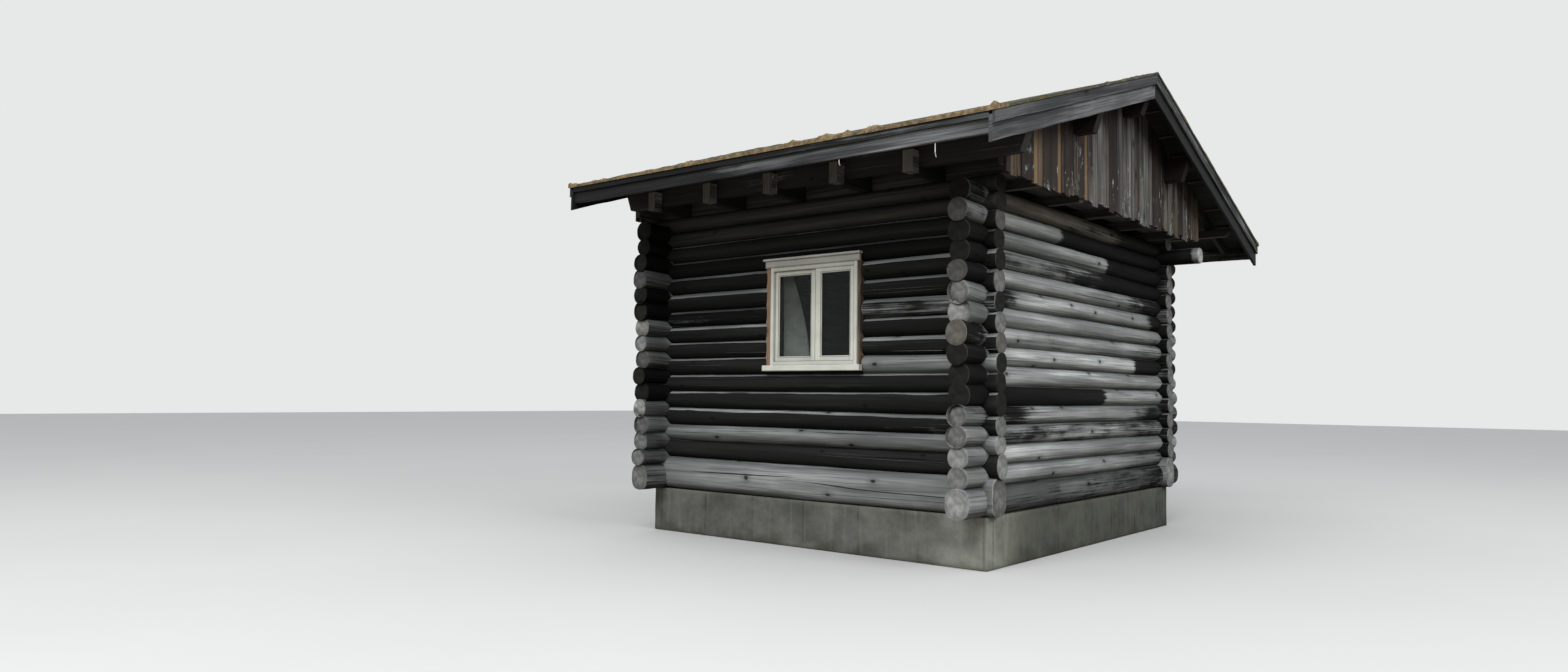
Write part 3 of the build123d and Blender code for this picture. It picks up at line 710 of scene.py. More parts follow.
# %% Front wall
tail = 0.070
window_low, window_high = -0.6218, 0.4728
window_seat, window_lid = 1.6235, 2.6068
below_all, above_all = 0.0, 9.0
front_piles = (Pile(), Pile())


def front_log(number, low, high, tone, ends, cuts, part, flare):
    """The seams above and below a log are known at the far and the near face of the walls."""
    shares = [(place - far_face) / (near_face - far_face) for place in (low, high)]
    seams = front_seams[number - 1:number + 1]
    bottoms, tops = ([part_way(seam, share) for share in shares] for seam in seams)
    taper = 0.003 if number % 2 else -0.003
    lay_log(
        front_piles[number % 2], 0, low, high, front_middle, bottoms, tops, (0.086 + taper, 0.086 - taper),
        tone, ends, ("front", number, part), cuts=cuts, flare=flare,
    )


for number in range(1, 16):
    rng = seeded("front tails", number)
    low, high = far_face - tail - rng.uniform(0, 0.03), near_face + tail + rng.uniform(0, 0.028)
    ends, flare = (dark_end, near_end_tones.get(number, dark_end)), rng.uniform(0.02, 0.10)
    if 5 < number < 12:
        stop, cut = window_low, ()
        if number == 6:
            stop, cut = window_high, [(window_low, above_all, below_all, window_seat)]
        front_log(number, low, stop, left_tones[number], (dark_end, dark_end), cut, "left", (flare, 0))
        front_log(number, window_high, high, right_tones[number], ends, (), "right", (0, flare))
    else:
        cut = [(window_low, window_high, window_lid, above_all)] if number == 12 else ()
        front_log(number, low, high, front_tones[number], ends, cut, "", (flare, flare))
make_wall("front_wall", front_piles, "stained_logs")

# %% [markdown]
# The lowest front log is much larger and was squared with an axe, so its ring is drawn towards a
# square and its lower edge waves over the foundation. It lost its coat long ago.

# %% Front sill log
sill = Pile()
lay_log(
    sill, 0, far_face - tail - 0.02, near_face + tail, front_middle, (footing + 0.010, footing + 0.004),
    front_seams[0], (0.112, 0.118), (0.0, 0.3, 0.50, 0.0), (dark_end, near_end_tones[0]), "front sill",
    square=2.9, cracks=7, sides=34, spacing=0.045,
)
make_worn("front_sill_log", sill, [log_wood, log_end], "sill_logs")

# %% [markdown]
# The rear wall has level courses and a door. One of its logs, the outrigger, runs on past the near
# gable. It could be a piece of its own, but it is laid as one log, with a pale end that its tones
# give it.

# %% Rear wall
door_low, door_high, door_seat = -0.0233, 0.8933, 0.6075
rear_seat = 0.755
outrigger, under_lintel = 14, 12
rear_piles = (Pile(), Pile())
for number in range(1, 16):
    rng = seeded("rear", number)
    bottom = rear_seat + course * (number - 1)
    tone = (0.62 + rng.uniform(-0.25, 0.35), rng.uniform(0.3, 0.8), 0.45, 0.0)
    low, high = far_face - tail - rng.uniform(0, 0.03), near_face + tail + rng.uniform(0, 0.02)
    end_coat = 0.6
    if number == outrigger:
        high, end_coat = near_face + 0.420, 0.05
        tone = [(1.5, (1.0, 0.1, 0.5, 0)), (2.02, (0.95, 0.1, 0.5, 0)), (2.12, (0.1, 0.1, 0.5, 0))]
    spans = [(low, door_low), (door_high, high)] if number < under_lintel else [(low, high)]
    for part, (start, end) in enumerate(spans):
        lay_log(
            rear_piles[number % 2], 0, start, end, rear_middle, (bottom,) * 2, (bottom + course,) * 2,
            (0.085, 0.088) if number % 2 else (0.088, 0.085), tone, (dark_end, (end_coat, 0, 0.42, 0)),
            ("rear", number, part),
        )
make_wall("rear_wall", rear_piles, "stained_logs")

rear_sill = Pile()
lay_log(
    rear_sill, 0, far_face - tail, near_face + tail, rear_middle, (footing + 0.006,) * 2, (rear_seat,) * 2,
    (0.115, 0.112), (0.1, 0.4, 0.45, 0), (dark_end, (0.3, 0, 0.4, 0)), "rear sill", square=2.9, cracks=5,
    sides=34, cuts=[(door_low, door_high, below_all, door_seat)],
)
make_worn("rear_sill_log", rear_sill, [log_wood, log_end], "sill_logs")

# %% [markdown]
# The gable logs have gone silver where rain reaches them. Under the roof the dark coat is still
# there towards the rear, where the logs are also painted in shade, and the highest log is brown
# because it stays dry. The stub that stands out past the corner keeps more coat and has painted
# shade, so it is darker than the wall, and its end is a little thicker, because it was never notched.

# %% Tones of the gable walls
# Painted shade: rear_shade and light values under 0.5 paint the shade under the roof; values above 0.5 paint
# light.
rear_shade = (1, 0, 0.32, 0)
gable_tones = {
    0: [(-0.6, (0.34, 0.3, 0.22, 0)), (1.2, (0.44, 0.3, 0.18, 0))],
    1: [(-1.2, (0.10, 0.4, 0.60, 0)), (0.2, (0.24, 0.4, 0.50, 0)), (1.2, (0.46, 0.3, 0.36, 0))],
    2: (0.06, 0.4, 0.70, 0), 3: (0.40, 0.3, 0.56, 0),
    4: [(-1.8, (0.6, 0.3, 0.5, 0)), (-1.2, (0.2, 0.4, 0.62, 0)), (0.6, (0.3, 0.4, 0.6, 0)),
        (1.4, (0.5, 0.3, 0.5, 0))],
    5: [(-0.10, (1.0, 0.3, 0.4, 0)), (0.24, (0.30, 0.3, 0.60, 0))],
    6: (0.10, 0.4, 0.80, 0),
    7: [(0.86, (0.14, 0.4, 0.74, 0)), (1.12, (0.85, 0.2, 0.4, 0))],
    8: (0.24, 0.4, 0.62, 0),
    9: [(0.4, (0.12, 0.4, 0.70, 0)), (1.7, (0.36, 0.4, 0.5, 0))],
    10: [(-1.8, (0.5, 0.3, 0.5, 0)), (-1.5, (0.14, 0.4, 0.62, 0)), (1.2, (0.16, 0.4, 0.58, 0)),
         (1.8, rear_shade)],
    11: [(0.1, (0.18, 0.4, 0.60, 0)), (1.5, (0.60, 0.3, 0.36, 0))],
    12: [(-1.4, (0.34, 0.4, 0.54, 0)), (-0.3, (0.48, 0.3, 0.52, 0)), (0.4, (0.6, 0.2, 0.4, 0)),
         (1.2, rear_shade)],
    13: [(0.16, (0.18, 0.4, 0.52, 0)), (0.40, rear_shade)],
    14: [(-0.95, (0.12, 0.4, 0.50, 0.1)), (-0.62, rear_shade)],
    15: [(-1.8, (0.12, 0.2, 0.62, 0.8)), (0.3, (0.40, 0.2, 0.56, 0.7)), (1.3, (0.9, 0.2, 0.46, 0.6))],
}
gable_ends = {
    0: (0, 0, 0.38, 0), 1: (0.10, 0, 0.24, 0.08), 2: (0, 0, 0.32, 0), 3: (0.08, 0, 0.20, 0),
    4: (0.18, 0, 0.19, 0), 8: (0.25, 0, 0.21, 0.4), 9: (0.05, 0, 0.32, 0), 10: (0.05, 0, 0.24, 0),
    11: (0.6, 0, 0.24, 0.2), 14: (0.5, 0, 0.24, 0.2),
}
stub_coats = {0: 0.05, 1: 0.15, 2: 0.1, 3: 0.25, 4: 0.3, 8: 0.6, 9: 0.15, 10: 0.2, 14: 0.4, 15: 0.5}
far_ends = {
    0: (0.1, 0, 0.22, 0), 1: (0.15, 0, 0.21, 0), 2: (0.2, 0, 0.20, 0), 3: (0.3, 0, 0.20, 0),
    4: (0, 0, 0.42, 0), 7: (0.5, 0, 0.24, 0), 8: (0.1, 0, 0.28, 0), 9: (0.1, 0, 0.34, 0.1),
    12: (0.5, 0, 0.20, 0),
}
hewn_ends = {4: 0.7, 9: 0.6, 10: 0.6, 3: 0.4}
print("tones for", len(gable_tones), "gable logs and", len(gable_ends) + len(far_ends), "of their ends")

# %% Gable walls
gable_tail = 0.330
gable_seat = 0.6725


def with_stub(tone, coat, painted_light_and_tone):
    """Adds the darker stub in front of the corner to a gable log's tones, with more coat and painted
    shade. A single tone also gets more coat and painted shade towards the rear.
    """
    if isinstance(tone, tuple):
        tone = [(-1.2, tone), (1.9, (tone[0] + 0.08, tone[1], tone[2] * 0.66, tone[3]))]
    return [(-2.34, (coat, 0.2, painted_light_and_tone, 0.0)), (-2.20, tone[0][1])] + tone


sills = Pile()
for wall, middle in (("near", near_middle), ("far", far_middle)):
    gable_piles = (Pile(), Pile())
    for number in range(16):
        rng = seeded(wall, "gable", number)
        bottom = footing if number == 0 else gable_seat + course * (number - 1)
        top = gable_seat + course * number
        low = front_face - gable_tail + rng.uniform(-0.020, 0.045)
        high = rear_face + gable_tail + rng.uniform(-0.04, 0.02)
        lean = rng.uniform(-0.006, 0.006) if 0 < number < 15 else 0
        flare = (rng.uniform(0.04, 0.17), rng.uniform(0.0, 0.12))
        if wall == "near":
            tone = with_stub(gable_tones[number], stub_coats.get(number, 0.85), 0.36)
            ends, hewn = (gable_ends.get(number, dark_end), (0.4, 0, 0.40, 0)), 0.06
        else:
            tone = (0.35 + rng.uniform(-0.3, 0.5), rng.uniform(0.2, 0.8), 0.45, 0.0)
            tone = with_stub(tone, 0.34 if number in far_ends else 0.9, 0.26)
            ends, hewn = (far_ends.get(number, dark_end), dark_end), 0.4
        if number == 0:
            lay_log(
                sills, 1, low, high, middle, (bottom + 0.004,) * 2, (top, top), (0.1075, 0.1075),
                tone, ends, (wall, "sill"), square=2.5, cracks=5, sides=32, hewn=0.1, flare=(0.03, 0),
            )
            continue
        lay_log(
            gable_piles[number % 2], 1, low, high, middle, (bottom + lean, bottom - lean),
            (top - lean, top + lean), (0.089, 0.084) if number % 2 else (0.084, 0.089), tone, ends,
            (wall, number), hewn=hewn_ends.get(number, hewn), flare=flare,
        )
    make_wall(f"{wall}_gable", gable_piles, "weathered_logs")
make_worn("gable_sill_logs", sills, [log_wood, log_end], "sill_logs")

# %% [markdown]
# ## One board
# A sawn board has slightly rounded edges, and after years outside it is no longer quite straight.
# The board builder walks along the board with a ring of eight corners, moves the two long edges a
# little, and can cut both ends at an angle. An edge can also follow a curve, as a board does that is
# scribed to the logs beside it.

# %% Board builder


def lay_board(pile, corner, along, across, length, width, thickness, tone, seed, low_cut=(0.0, 0.0),
              high_cut=(0.0, 0.0), sway=0.0015, ease=0.003, step=0.15, kind=0, scribe=None):
    """Lays a board from its low corner. along and across are unit vectors, and its thickness goes
    along their cross product. A cut is how far that end leans per metre across and per metre of
    thickness. scribe gives the shift of the low and the high edge at a place along the board."""
    rng = seeded("board", seed)
    corner, along, across = Vector(corner), Vector(along).normalized(), Vector(across).normalized()
    out = along.cross(across)
    wander, slide, around = rng.uniform(0, 90), rng.uniform(0, 40), rng.uniform(0, 12)
    ease = min(ease, thickness * 0.3, width * 0.3)
    section = [
        (ease, 0), (width - ease, 0), (width, ease), (width, thickness - ease),
        (width - ease, thickness), (ease, thickness), (0, thickness - ease), (0, ease),
    ]
    girths = [0.0]
    for start, end in zip(section, section[1:] + section[:1]):
        girths.append(girths[-1] + math.dist(start, end))
    steps = max(2, int(length / step))
    rows = []
    for index in range(steps + 1):
        share = index / steps
        place = share * length
        shifts = scribe(place) if scribe else (0.0, 0.0)
        tint = between(tone, place)
        lift = 0.6 * sway * drift(place, wander + 2, 2.0)
        row = []
        for (side, deep), girth in zip(section, girths):
            edge = 0 if side < width / 2 else 1
            lean = part_way([cut[0] * side + cut[1] * deep for cut in (low_cut, high_cut)], share)
            move = drift(place, wander + edge * 9, 3.0) + 0.5 * drift(place, wander + edge * 9, 14.0)
            spot = corner + along * (place + lean) + across * (side + sway * move + shifts[edge])
            row.append(pile.corner(spot + out * (deep + lift), tint, (place + slide, girth + around)))
        rows.append(row + [(row[0][0], (place + slide, girths[8] + around))])
    pile.skin(rows, kind)
    for row in (rows[0], rows[-1]):
        pile.face([(number, (deep * 0.4, side)) for (number, _), (side, deep) in zip(row, section)], kind)


# %% [markdown]
# ## Ceiling beams, purlins and rafters
# These carry the roof. The beams' square ends look out under the front eave, and the purlins' ends
# under the gable are cut back at a rake so that rain drips off their tips. Most of it is dark with
# age on the sides, with a heavy coat that also stands in for the shade under the roof, and pale on
# end grain. The beams' front tails are paler wood with painted light, and the eave purlins get
# painted light too. A beam is laid in parts, because it is notched where the eave purlins lie on it.

# %% Ceiling beams
roof_shade = (0.85, 0.0, 0.5, 0.0)
beams = Pile()
beam_foot, beam_width, beam_height, seat_height = 3.230, 0.098, 0.185, 0.0548
beam_reach, seat_out, seat_in = 2.7295, 2.6348, 2.5342
beam_middles = [-0.270 + 0.755 * (index - 2) for index in range(5)]
for index, middle in enumerate(beam_middles):
    rear_height = roof_height(rafter_foot, beam_reach) - beam_foot - 0.0005
    # The front tails are paler gable wood with painted light (0.66); the rest carries roof_shade.
    parts = [  # seed, from, to, height, tone, eased edge, finish
        ("beam", -beam_reach, -seat_out, beam_height, (0.26, 0.0, 0.66, 0.0), 0.004, 2),
        ("beam", -seat_in, seat_in, beam_height, roof_shade, 0.004, 0),
        ("beam", seat_out, beam_reach, rear_height, roof_shade, 0.004, 0),
        ("beam seat", -seat_out, -seat_in, seat_height, roof_shade, 0.002, 0),
        ("beam seat", seat_in, seat_out, seat_height, roof_shade, 0.002, 0),
    ]
    for part, low, high, height, tone, ease, kind in parts:
        lay_board(
            beams, (middle + beam_width / 2, low, beam_foot), along_y, -along_x, high - low, beam_width,
            height, tone, (part, index, low), ease=ease, kind=kind,
        )
    face = 0.05 if index == 4 else 0.45
    lay_board(
        beams, (middle + 0.0475, -2.7308, 3.2315), along_y, -along_x, 0.004, 0.095, 0.182,
        (face, 0.0, 0.50, 0.0), ("beam face", index), ease=0.003, kind=1,
    )
print("beams at", [round(v, 3) for v in beam_middles])

# %% Purlins


def rake_purlin(pile, place, bottom, tone, seed):
    """A purlin with its ends cut back at a rake, and its top under the rafters."""
    rake_length = 0.095
    low_end = half_roof - 0.052 - rake_length
    height = min(roof_height(rafter_foot, edge) for edge in (place - 0.050, place + 0.050)) - bottom
    rake = rake_length / (roof_height(rafter_foot, place) - bottom)
    lay_board(
        pile, (-low_end, place - 0.050, bottom), along_x, along_y, 2 * low_end, 0.100, height, tone, seed,
        low_cut=(0, -rake), high_cut=(0, rake), ease=0.004, sway=0.002, step=0.1,
    )
    lay_board(
        pile, (low_end + 0.0005, place - 0.048, bottom + 0.002), (rake, 0, 1), along_y,
        height * math.hypot(1, rake) - 0.005, 0.096, 0.003, (0.0, 0.0, 0.80, 0.05), (seed, "face"),
        ease=0.002, sway=0.001, kind=1,
    )


# Painted light and shade: the eave purlins are painted lighter (0.85) and the rear mid purlin darker (0.16).
eave_pile, mid_pile, ridge_pile = Pile(), Pile(), Pile()
mid_shade = (0.72, 0.0, 0.36, 0.10)
for side in (-1, 1):
    rake_purlin(eave_pile, side * 2.5845, 3.285, (0.62, 0.0, 0.85, 0.0), ("eave", side))
    place = ridge + side * 1.140
    tone = mid_shade if side < 0 else (1.0, 0.0, 0.16, 0.0)
    rake_purlin(mid_pile, place, roof_height(rafter_foot, place) - 0.270, tone, ("mid", side))
rake_purlin(ridge_pile, ridge, rafter_foot - 0.240, mid_shade, "ridge")
for node, pile, finishes in (
    ("tie_beams", beams, [beam_wood, beam_end, gable_wood]),
    ("eave_purlins", eave_pile, [beam_wood, beam_end]),
    ("mid_purlins", mid_pile, [gable_wood, beam_end]),
    ("ridge_beam", ridge_pile, [gable_wood, beam_end]),
):
    make_worn(node, pile, finishes, "frame_timber")

# %% Rafters
near_rafter, far_rafter = 1.955, -2.212
for name, side in roof_sides:
    rafters = Pile()
    lean = -math.tan(pitches[side])
    length = (half_run - 0.0525 + side * -ridge) / math.cos(pitches[side])
    depth = 0.100 * math.cos(pitches[side]) / math.cos(pitches[-1])
    for index in range(8):
        place = far_rafter + index * (near_rafter - far_rafter) / 7
        lay_board(
            rafters, (place if side < 0 else place + 0.045, ridge, rafter_foot), down_slope(side),
            -along_x * side, length, 0.045, depth, roof_shade, (name, index), low_cut=(0, lean),
            high_cut=(0, lean),
        )
    make_worn(f"{name}_rafters", rafters, [beam_wood], "frame_timber")

# %% [markdown]
# ## Roof boards
# From below, the roof shows rough boards that run with the ridge, with thin gaps between them.
# A single sheet with painted lines would lose the gaps' shadows, so the boards are laid one by one.
# Thin fillets under the rear slope, out by the near gable, catch the light.

# %% Roof deck
deck_edge = half_roof - 0.022
fillets = (0.42, 0.86, 1.22, 1.74, 2.34, 2.74)
for name, side in roof_sides:
    deck = Pile()
    rng = seeded("deck", name)
    down = down_slope(side)
    total = (half_run - 0.022 + side * -ridge) / math.cos(pitches[side])
    place = 0.012
    while place < total - 0.012:
        width = min(rng.uniform(0.135, 0.165), total - place)
        corner = Vector((-side * deck_edge, ridge, rafter_back + 0.0003)) + down * place
        tone = (0.75 + rng.uniform(-0.25, 0.3), 0.0, rng.uniform(0.42, 0.62), rng.uniform(0, 0.3))
        lay_board(
            deck, corner, along_x * side, down, 2 * deck_edge, width - 0.004, 0.0244, tone,
            (name, round(place, 3)), ease=0.0025, sway=0.0012,
        )
        place += width
    for index, place in enumerate(fillets if side > 0 else ()):
        lay_board(
            deck, (2.030, place, roof_height(rafter_back, place + 0.024) - 0.013), along_x, along_y, 0.255,
            0.024, 0.014, (0.0, 0.0, 0.44, 0.35), ("fillet", index), kind=1, ease=0.002,
        )
    make_piece(f"{name}_roof_deck_boards", deck, [beam_wood, gable_wood], "deck_wood", f"{name}_roof_deck")

# %% [markdown]
# ## Roofing with its moss and litter
# Strips of mineral felt lap down each slope. Moss has grown on the laps, and along the eaves needles
# have rotted into a brown crust that hangs over the edge: from the ground it is the only part of
# the roofing that is seen. One grid per slope is fine enough near the eave to carry that
# crust as real lumps.

# %% Felt and moss finish


def roofing_finish():
    felt = Finish("mossy_felt", roughness=0.95, shine=0.15)
    mossy, littered, painted_light_and_tone, _ = felt.tones()
    fine = felt.noise(160, 3, 0.6)
    middle = felt.noise(26, 5, 0.65)
    wide = felt.noise(2.2, 4, 0.6)
    colour = felt.mix(felt.spread(fine, 0.4, 0.62), (0.030, 0.030, 0.029), (0.085, 0.083, 0.078))
    colour = felt.mix(felt.spread(wide, 0.35, 0.7), colour, (0.050, 0.047, 0.041))
    moss = felt.mix(felt.spread(middle, 0.38, 0.62), (0.024, 0.028, 0.013), (0.070, 0.074, 0.032))
    litter = felt.mix(felt.spread(middle, 0.34, 0.64), (0.045, 0.033, 0.019), (0.24, 0.172, 0.092))
    litter = felt.mix(felt.spread(fine, 0.42, 0.60), litter, (0.12, 0.088, 0.048))
    colour = felt.mix(felt.spread(felt.plus(middle, 1.1, mossy), 0.72, 0.98), colour, moss)
    colour = felt.mix(felt.spread(felt.plus(fine, 0.5, littered), 0.46, 0.74), colour, litter)
    height = felt.math("ADD", fine, felt.times(middle, 1.5))
    return felt.wear(felt.lit(colour, painted_light_and_tone), None, height, 0.004, 0.7)


mossy_felt = roofing_finish()
print("roofing finish:", mossy_felt.name)

# %% Roofing
edge_x = half_roof + 0.012
lap_length = 0.88
eave_strip = 0.19
slope_steps, eave_steps, cross_steps = 40, 15, 300


def growth(x, y, run, from_eave, side):
    """How high moss and crust stand on the felt, and their tone."""
    wide, lump, grit, clump = (
        0.5 + 0.5 * wave(x * pace, y * pace, seed)
        for pace, seed in ((0.9, 4.0), (9, 1.0), (38, 7.0), (17, 3.0))
    )
    lap = (run % lap_length) / lap_length
    moss = max(0.0, wide * 1.1 - 0.42 + 0.32 * max(0.0, lap - 0.5))
    rich = 0.55 + 0.45 * bell(x - 0.9, 1.3) if side < 0 else 0.7
    crust = rich * bell(from_eave, 0.075) * (0.25 + 1.1 * lump)
    crust += 0.5 * bell(edge_x - abs(x), 0.05) * lump
    thick = 0.0006 + 0.004 * lap * (lap < 0.98) + 0.014 * moss * lump
    thick += 0.046 * crust * (0.2 + 0.7 * grit + 0.9 * clump ** 2)
    droop = 0.022 * bell(from_eave, 0.02) * clump * rich
    return thick - droop, (min(1, moss * (0.6 + 0.8 * lump)), min(1, crust * 1.1), 0.38 + 0.22 * lump, 0.0)


def lay_roofing(side):
    """One slope of roofing: a thick sheet whose top carries laps, moss and crust."""
    pile = Pile()
    reach = half_run + 0.012 + side * -ridge
    runs = [reach * index / slope_steps for index in range(slope_steps + 1)]
    runs = [run for run in runs if run < reach - eave_strip - 0.01]
    runs += [reach - eave_strip + eave_strip * index / eave_steps for index in range(eave_steps + 1)]
    tops, lows = [], []
    for run in runs:
        y = ridge + side * run
        tops.append([])
        lows.append([])
        for index in range(cross_steps + 1):
            x = -edge_x + 2 * edge_x * index / cross_steps
            thick, tone = growth(x, y, run, reach - run, side)
            place = (x + 9, run + 3 * side)
            tops[-1].append(pile.corner((x, y, roof_height(roof_back, y) - 0.001 + thick), tone, place))
            lows[-1].append(pile.corner((x, y, roof_height(deck_back, y) + 0.0005), tone, place))
    for end in (0, -1):
        pile.skin((tops[end], lows[end]))
    for end in (0, -1):
        pile.skin([[row[end] for row in rows] for rows in (tops, lows)])
    pile.skin(tops)
    pile.skin(lows)
    return pile


for name, side in roof_sides:
    make_piece(
        f"{name}_roofing_mossy", lay_roofing(side), [mossy_felt], "roofing_felt", f"{name}_roofing", crease=60
    )

# %% [markdown]
# ## Boards along the roof's edges
# Each edge has a wide board with a narrow one over its upper part, both grey with long grain. On
# the gable they run up to a plumb joint at the ridge and cover the ends of the eave boards.

# %% Fascia boards
edge_grey, edge_dark, edge_black = (0.12, 0.0, 0.46, 0.0), (0.45, 0.0, 0.44, 0.0), (1.0, 0.0, 0.30, 0.0)
near_barge, eave_drop = 2.288, 0.170
# Towards the far end the fascia and its trim have more coat and a lower painted light.
fascia_tone = [
    (0.3, (0.95, 0, 0.36, 0)), (1.9, (0.52, 0, 0.42, 0)), (3.2, (0.20, 0, 0.46, 0)),
    (4.6, (0.12, 0, 0.48, 0)),
]
trim_tone = [(0.3, (0.95, 0, 0.34, 0)), (2.2, (0.70, 0, 0.36, 0)), (4.6, (0.30, 0, 0.44, 0))]


def worn_foot(seed, depth):
    """A lower edge with bites and long waves, for a board whose low edge is its first."""
    return lambda place: (depth * (drift(place, seed, 1.3) + 0.6 * drift(place, seed + 4, 5.0)), 0.0)


fascia, fascia_trim = Pile(), Pile()
for side in (-1, 1):
    low = roof_height(roof_back, side * half_run) - eave_drop
    inner, outer = side * (half_run - 0.052), side * (half_run - 0.022)
    lay_board(
        fascia, (-near_barge, max(inner, outer), low), along_x, upward, 2 * near_barge,
        roof_height(rafter_back, outer) - low, 0.030, fascia_tone if side < 0 else edge_dark,
        ("fascia", side), sway=0.003, step=0.06, scribe=worn_foot(3 + side, 0.004),
    )
    low = roof_height(deck_back, side * half_run) - 0.052
    lay_board(
        fascia_trim, (-near_barge, max(outer, side * half_run), low), along_x, upward, 2 * near_barge, 0.052,
        0.0218, trim_tone, ("strip", side), sway=0.003, step=0.06, scribe=worn_foot(13 + side, 0.003),
    )
print("eave boards:", 2 * near_barge, "m long, their feet", eave_drop, "m below the top of the roof")

# %% Barge boards
barge_trim = Pile()
for name, barge_x, trim_x in (("near", near_barge, 2.318), ("far", -2.318, -2.340)):
    barge = Pile()
    for side in (-1, 1):
        turn, lean = pitches[side], -math.tan(pitches[side])
        across = Vector((0, side * math.sin(turn), math.cos(turn)))
        length = (half_run + side * -ridge - 0.0005) / math.cos(turn)
        in_view = (name, side) == ("near", -1)
        for part, pile, x, thickness, foot, width, tone, seed, bite in (
            ("barge", barge, barge_x if side > 0 else barge_x + 0.030, 0.030, roof_back - 0.242,
             rafter_back - roof_back + 0.242, edge_grey if in_view else edge_black, 23, 0.006),
            ("barge strip", barge_trim, trim_x if side > 0 else trim_x + 0.022, 0.0218, deck_back - 0.095,
             0.095, edge_grey if in_view else edge_dark, 33, 0.004),
        ):
            lay_board(
                pile, (x, ridge + 0.0004 * side, foot), down_slope(side), across, length,
                width * math.cos(turn), thickness, tone, (part, name, side), low_cut=(lean, 0),
                high_cut=(lean, 0), sway=0.003, step=0.06, scribe=worn_foot(seed + side, bite),
            )
    make_worn(f"{name}_barge_boards", barge, [board_wood], "edge_boards")
for node, pile in (("fascia_boards", fascia), ("fascia_trims", fascia_trim), ("barge_trims", barge_trim)):
    make_worn(node, pile, [board_wood], "edge_boards")

# %% [markdown]
# ## Gable boards
# The gable is closed with boards of every width, nailed upright and cut by eye, so that their lower
# ends are uneven. Their colours differ more than those of any other part: some kept a tan stain,
# most are brown, and the ones in the middle have gone silver.

# %% Joints and tones of the gable boards
tan = (0.05, 0.0, 0.46, 0.80)
brown = (0.86, 0.0, 0.50, 0.0)
rust = (0.44, 0.0, 0.34, 0.45)
silver = (0.0, 0.0, 0.50, 0.0)
smoky = (0.36, 0.0, 0.38, 0.12)
near_joints = [
    (-2.534, brown), (-2.46, rust), (-2.35, rust), (-2.27, brown), (-2.14, brown), (-2.04, tan),
    (-1.97, rust), (-1.87, brown), (-1.72, brown), (-1.58, tan), (-1.52, rust), (-1.44, brown),
    (-1.34, rust), (-1.25, smoky), (-1.16, brown), (-1.02, tan), (-0.96, smoky), (-0.85, silver),
    (-0.72, silver), (-0.60, smoky),
    (-0.46, brown), (-0.34, brown), (-0.24, silver), (-0.12, smoky), (0.01, silver), (0.10, silver),
    (0.19, smoky), (0.32, silver), (0.46, silver), (0.57, smoky), (0.69, brown), (0.82, brown), (0.94, rust),
    (1.03, smoky), (1.14, smoky), (1.26, rust), (1.35, smoky), (1.45, brown), (1.60, smoky), (1.74, brown),
    (1.86, smoky), (1.98, rust), (2.1105, brown),
]
rng = seeded("far joints")
far_joints = [(-2.534, smoky)]
while far_joints[-1][0] < 1.95:
    tone = rng.choice((brown, smoky, silver, rust))
    far_joints.append((far_joints[-1][0] + rng.uniform(0.11, 0.20), tone))
far_joints[-1] = (2.1105, brown)
print("gable boards:", len(near_joints) - 1, "near,", len(far_joints) - 1, "far")

# %% Gable boards
cladding_low = 3.172
purlin_places = [(ridge - 1.140, 0.270), (ridge, 0.240), (ridge + 1.140, 0.270)]


def top_of_board(start, end):
    """Height and slope of the top of a strip of board, under the roof or under a purlin."""
    for place, depth in purlin_places:
        if abs((start + end) / 2 - place) < 0.05:
            return roof_height(rafter_foot, place) - depth - 0.0005, 0.0
    first, second = roof_height(rafter_back, start) - 0.002, roof_height(rafter_back, end) - 0.002
    if start < ridge < end:
        return min(first, second), 0.0
    return first, fall_at(start) if first < second else -fall_at(end)


def clad_gable(face, joints, seed):
    """Boards between joints, each up to the roof and with its own lower end."""
    pile = Pile()
    for number, ((low, (coat, _, painted_light_and_tone, warmth)), (high, _)) in enumerate(zip(joints, joints[1:])):
        rng = seeded(seed, number)
        foot = cladding_low + rng.uniform(-0.026, 0.020) - 0.012 * (low + 2.5) / 4.6
        proud, lean = rng.uniform(-0.003, 0.004), rng.uniform(-0.14, 0.14)
        coat, painted_light_and_tone = coat + rng.uniform(-0.08, 0.08), painted_light_and_tone + rng.uniform(-0.07, 0.07)
        # Higher up a board keeps more coat and less warmth, and is painted darker, as painted shade under the
        # roof.
        tint = [
            (rise, (coat + more, 0.0, painted_light_and_tone * painted_shade, warmth * fade))
            for rise, more, painted_shade, fade in ((0.18, 0, 1, 1), (0.50, 0.10, 0.92, 0.75), (1.00, 0.22, 0.62, 0.30))
        ]
        edges = [low + 0.0015, high - 0.0015]
        edges += [edge for place, _ in purlin_places for edge in (place - 0.0503, place + 0.0503)
                  if edges[0] < edge < edges[1]]
        edges.sort()
        for start, end in zip(edges, edges[1:]):
            if end - start < 0.004:
                continue
            top, slant = top_of_board(start, end)
            base = foot + lean * (start - low)
            lay_board(
                pile, (face + proud, start, base), upward, along_y, top - base, end - start, 0.022, tint,
                (seed, number, "board"), low_cut=(lean, 0.0), high_cut=(slant, 0.0), sway=0.002, ease=0.002,
                step=0.08,
            )
    return pile


for name, face, joints in (("near", 2.022, near_joints), ("far", -2.212, far_joints)):
    make_worn(f"{name}_gable_boards", clad_gable(face, joints, name), [gable_wood], "gable_cladding")

# %% [markdown]
# ## The window
# The window is newer than the logs: painted cream, with two sashes that slide past each other, the
# left one farther in. Each rail and stile is its own board with eased edges, a narrow bead holds the
# glass, and brown boards beside the frame are scribed to the round logs.

# %% Paint and glass


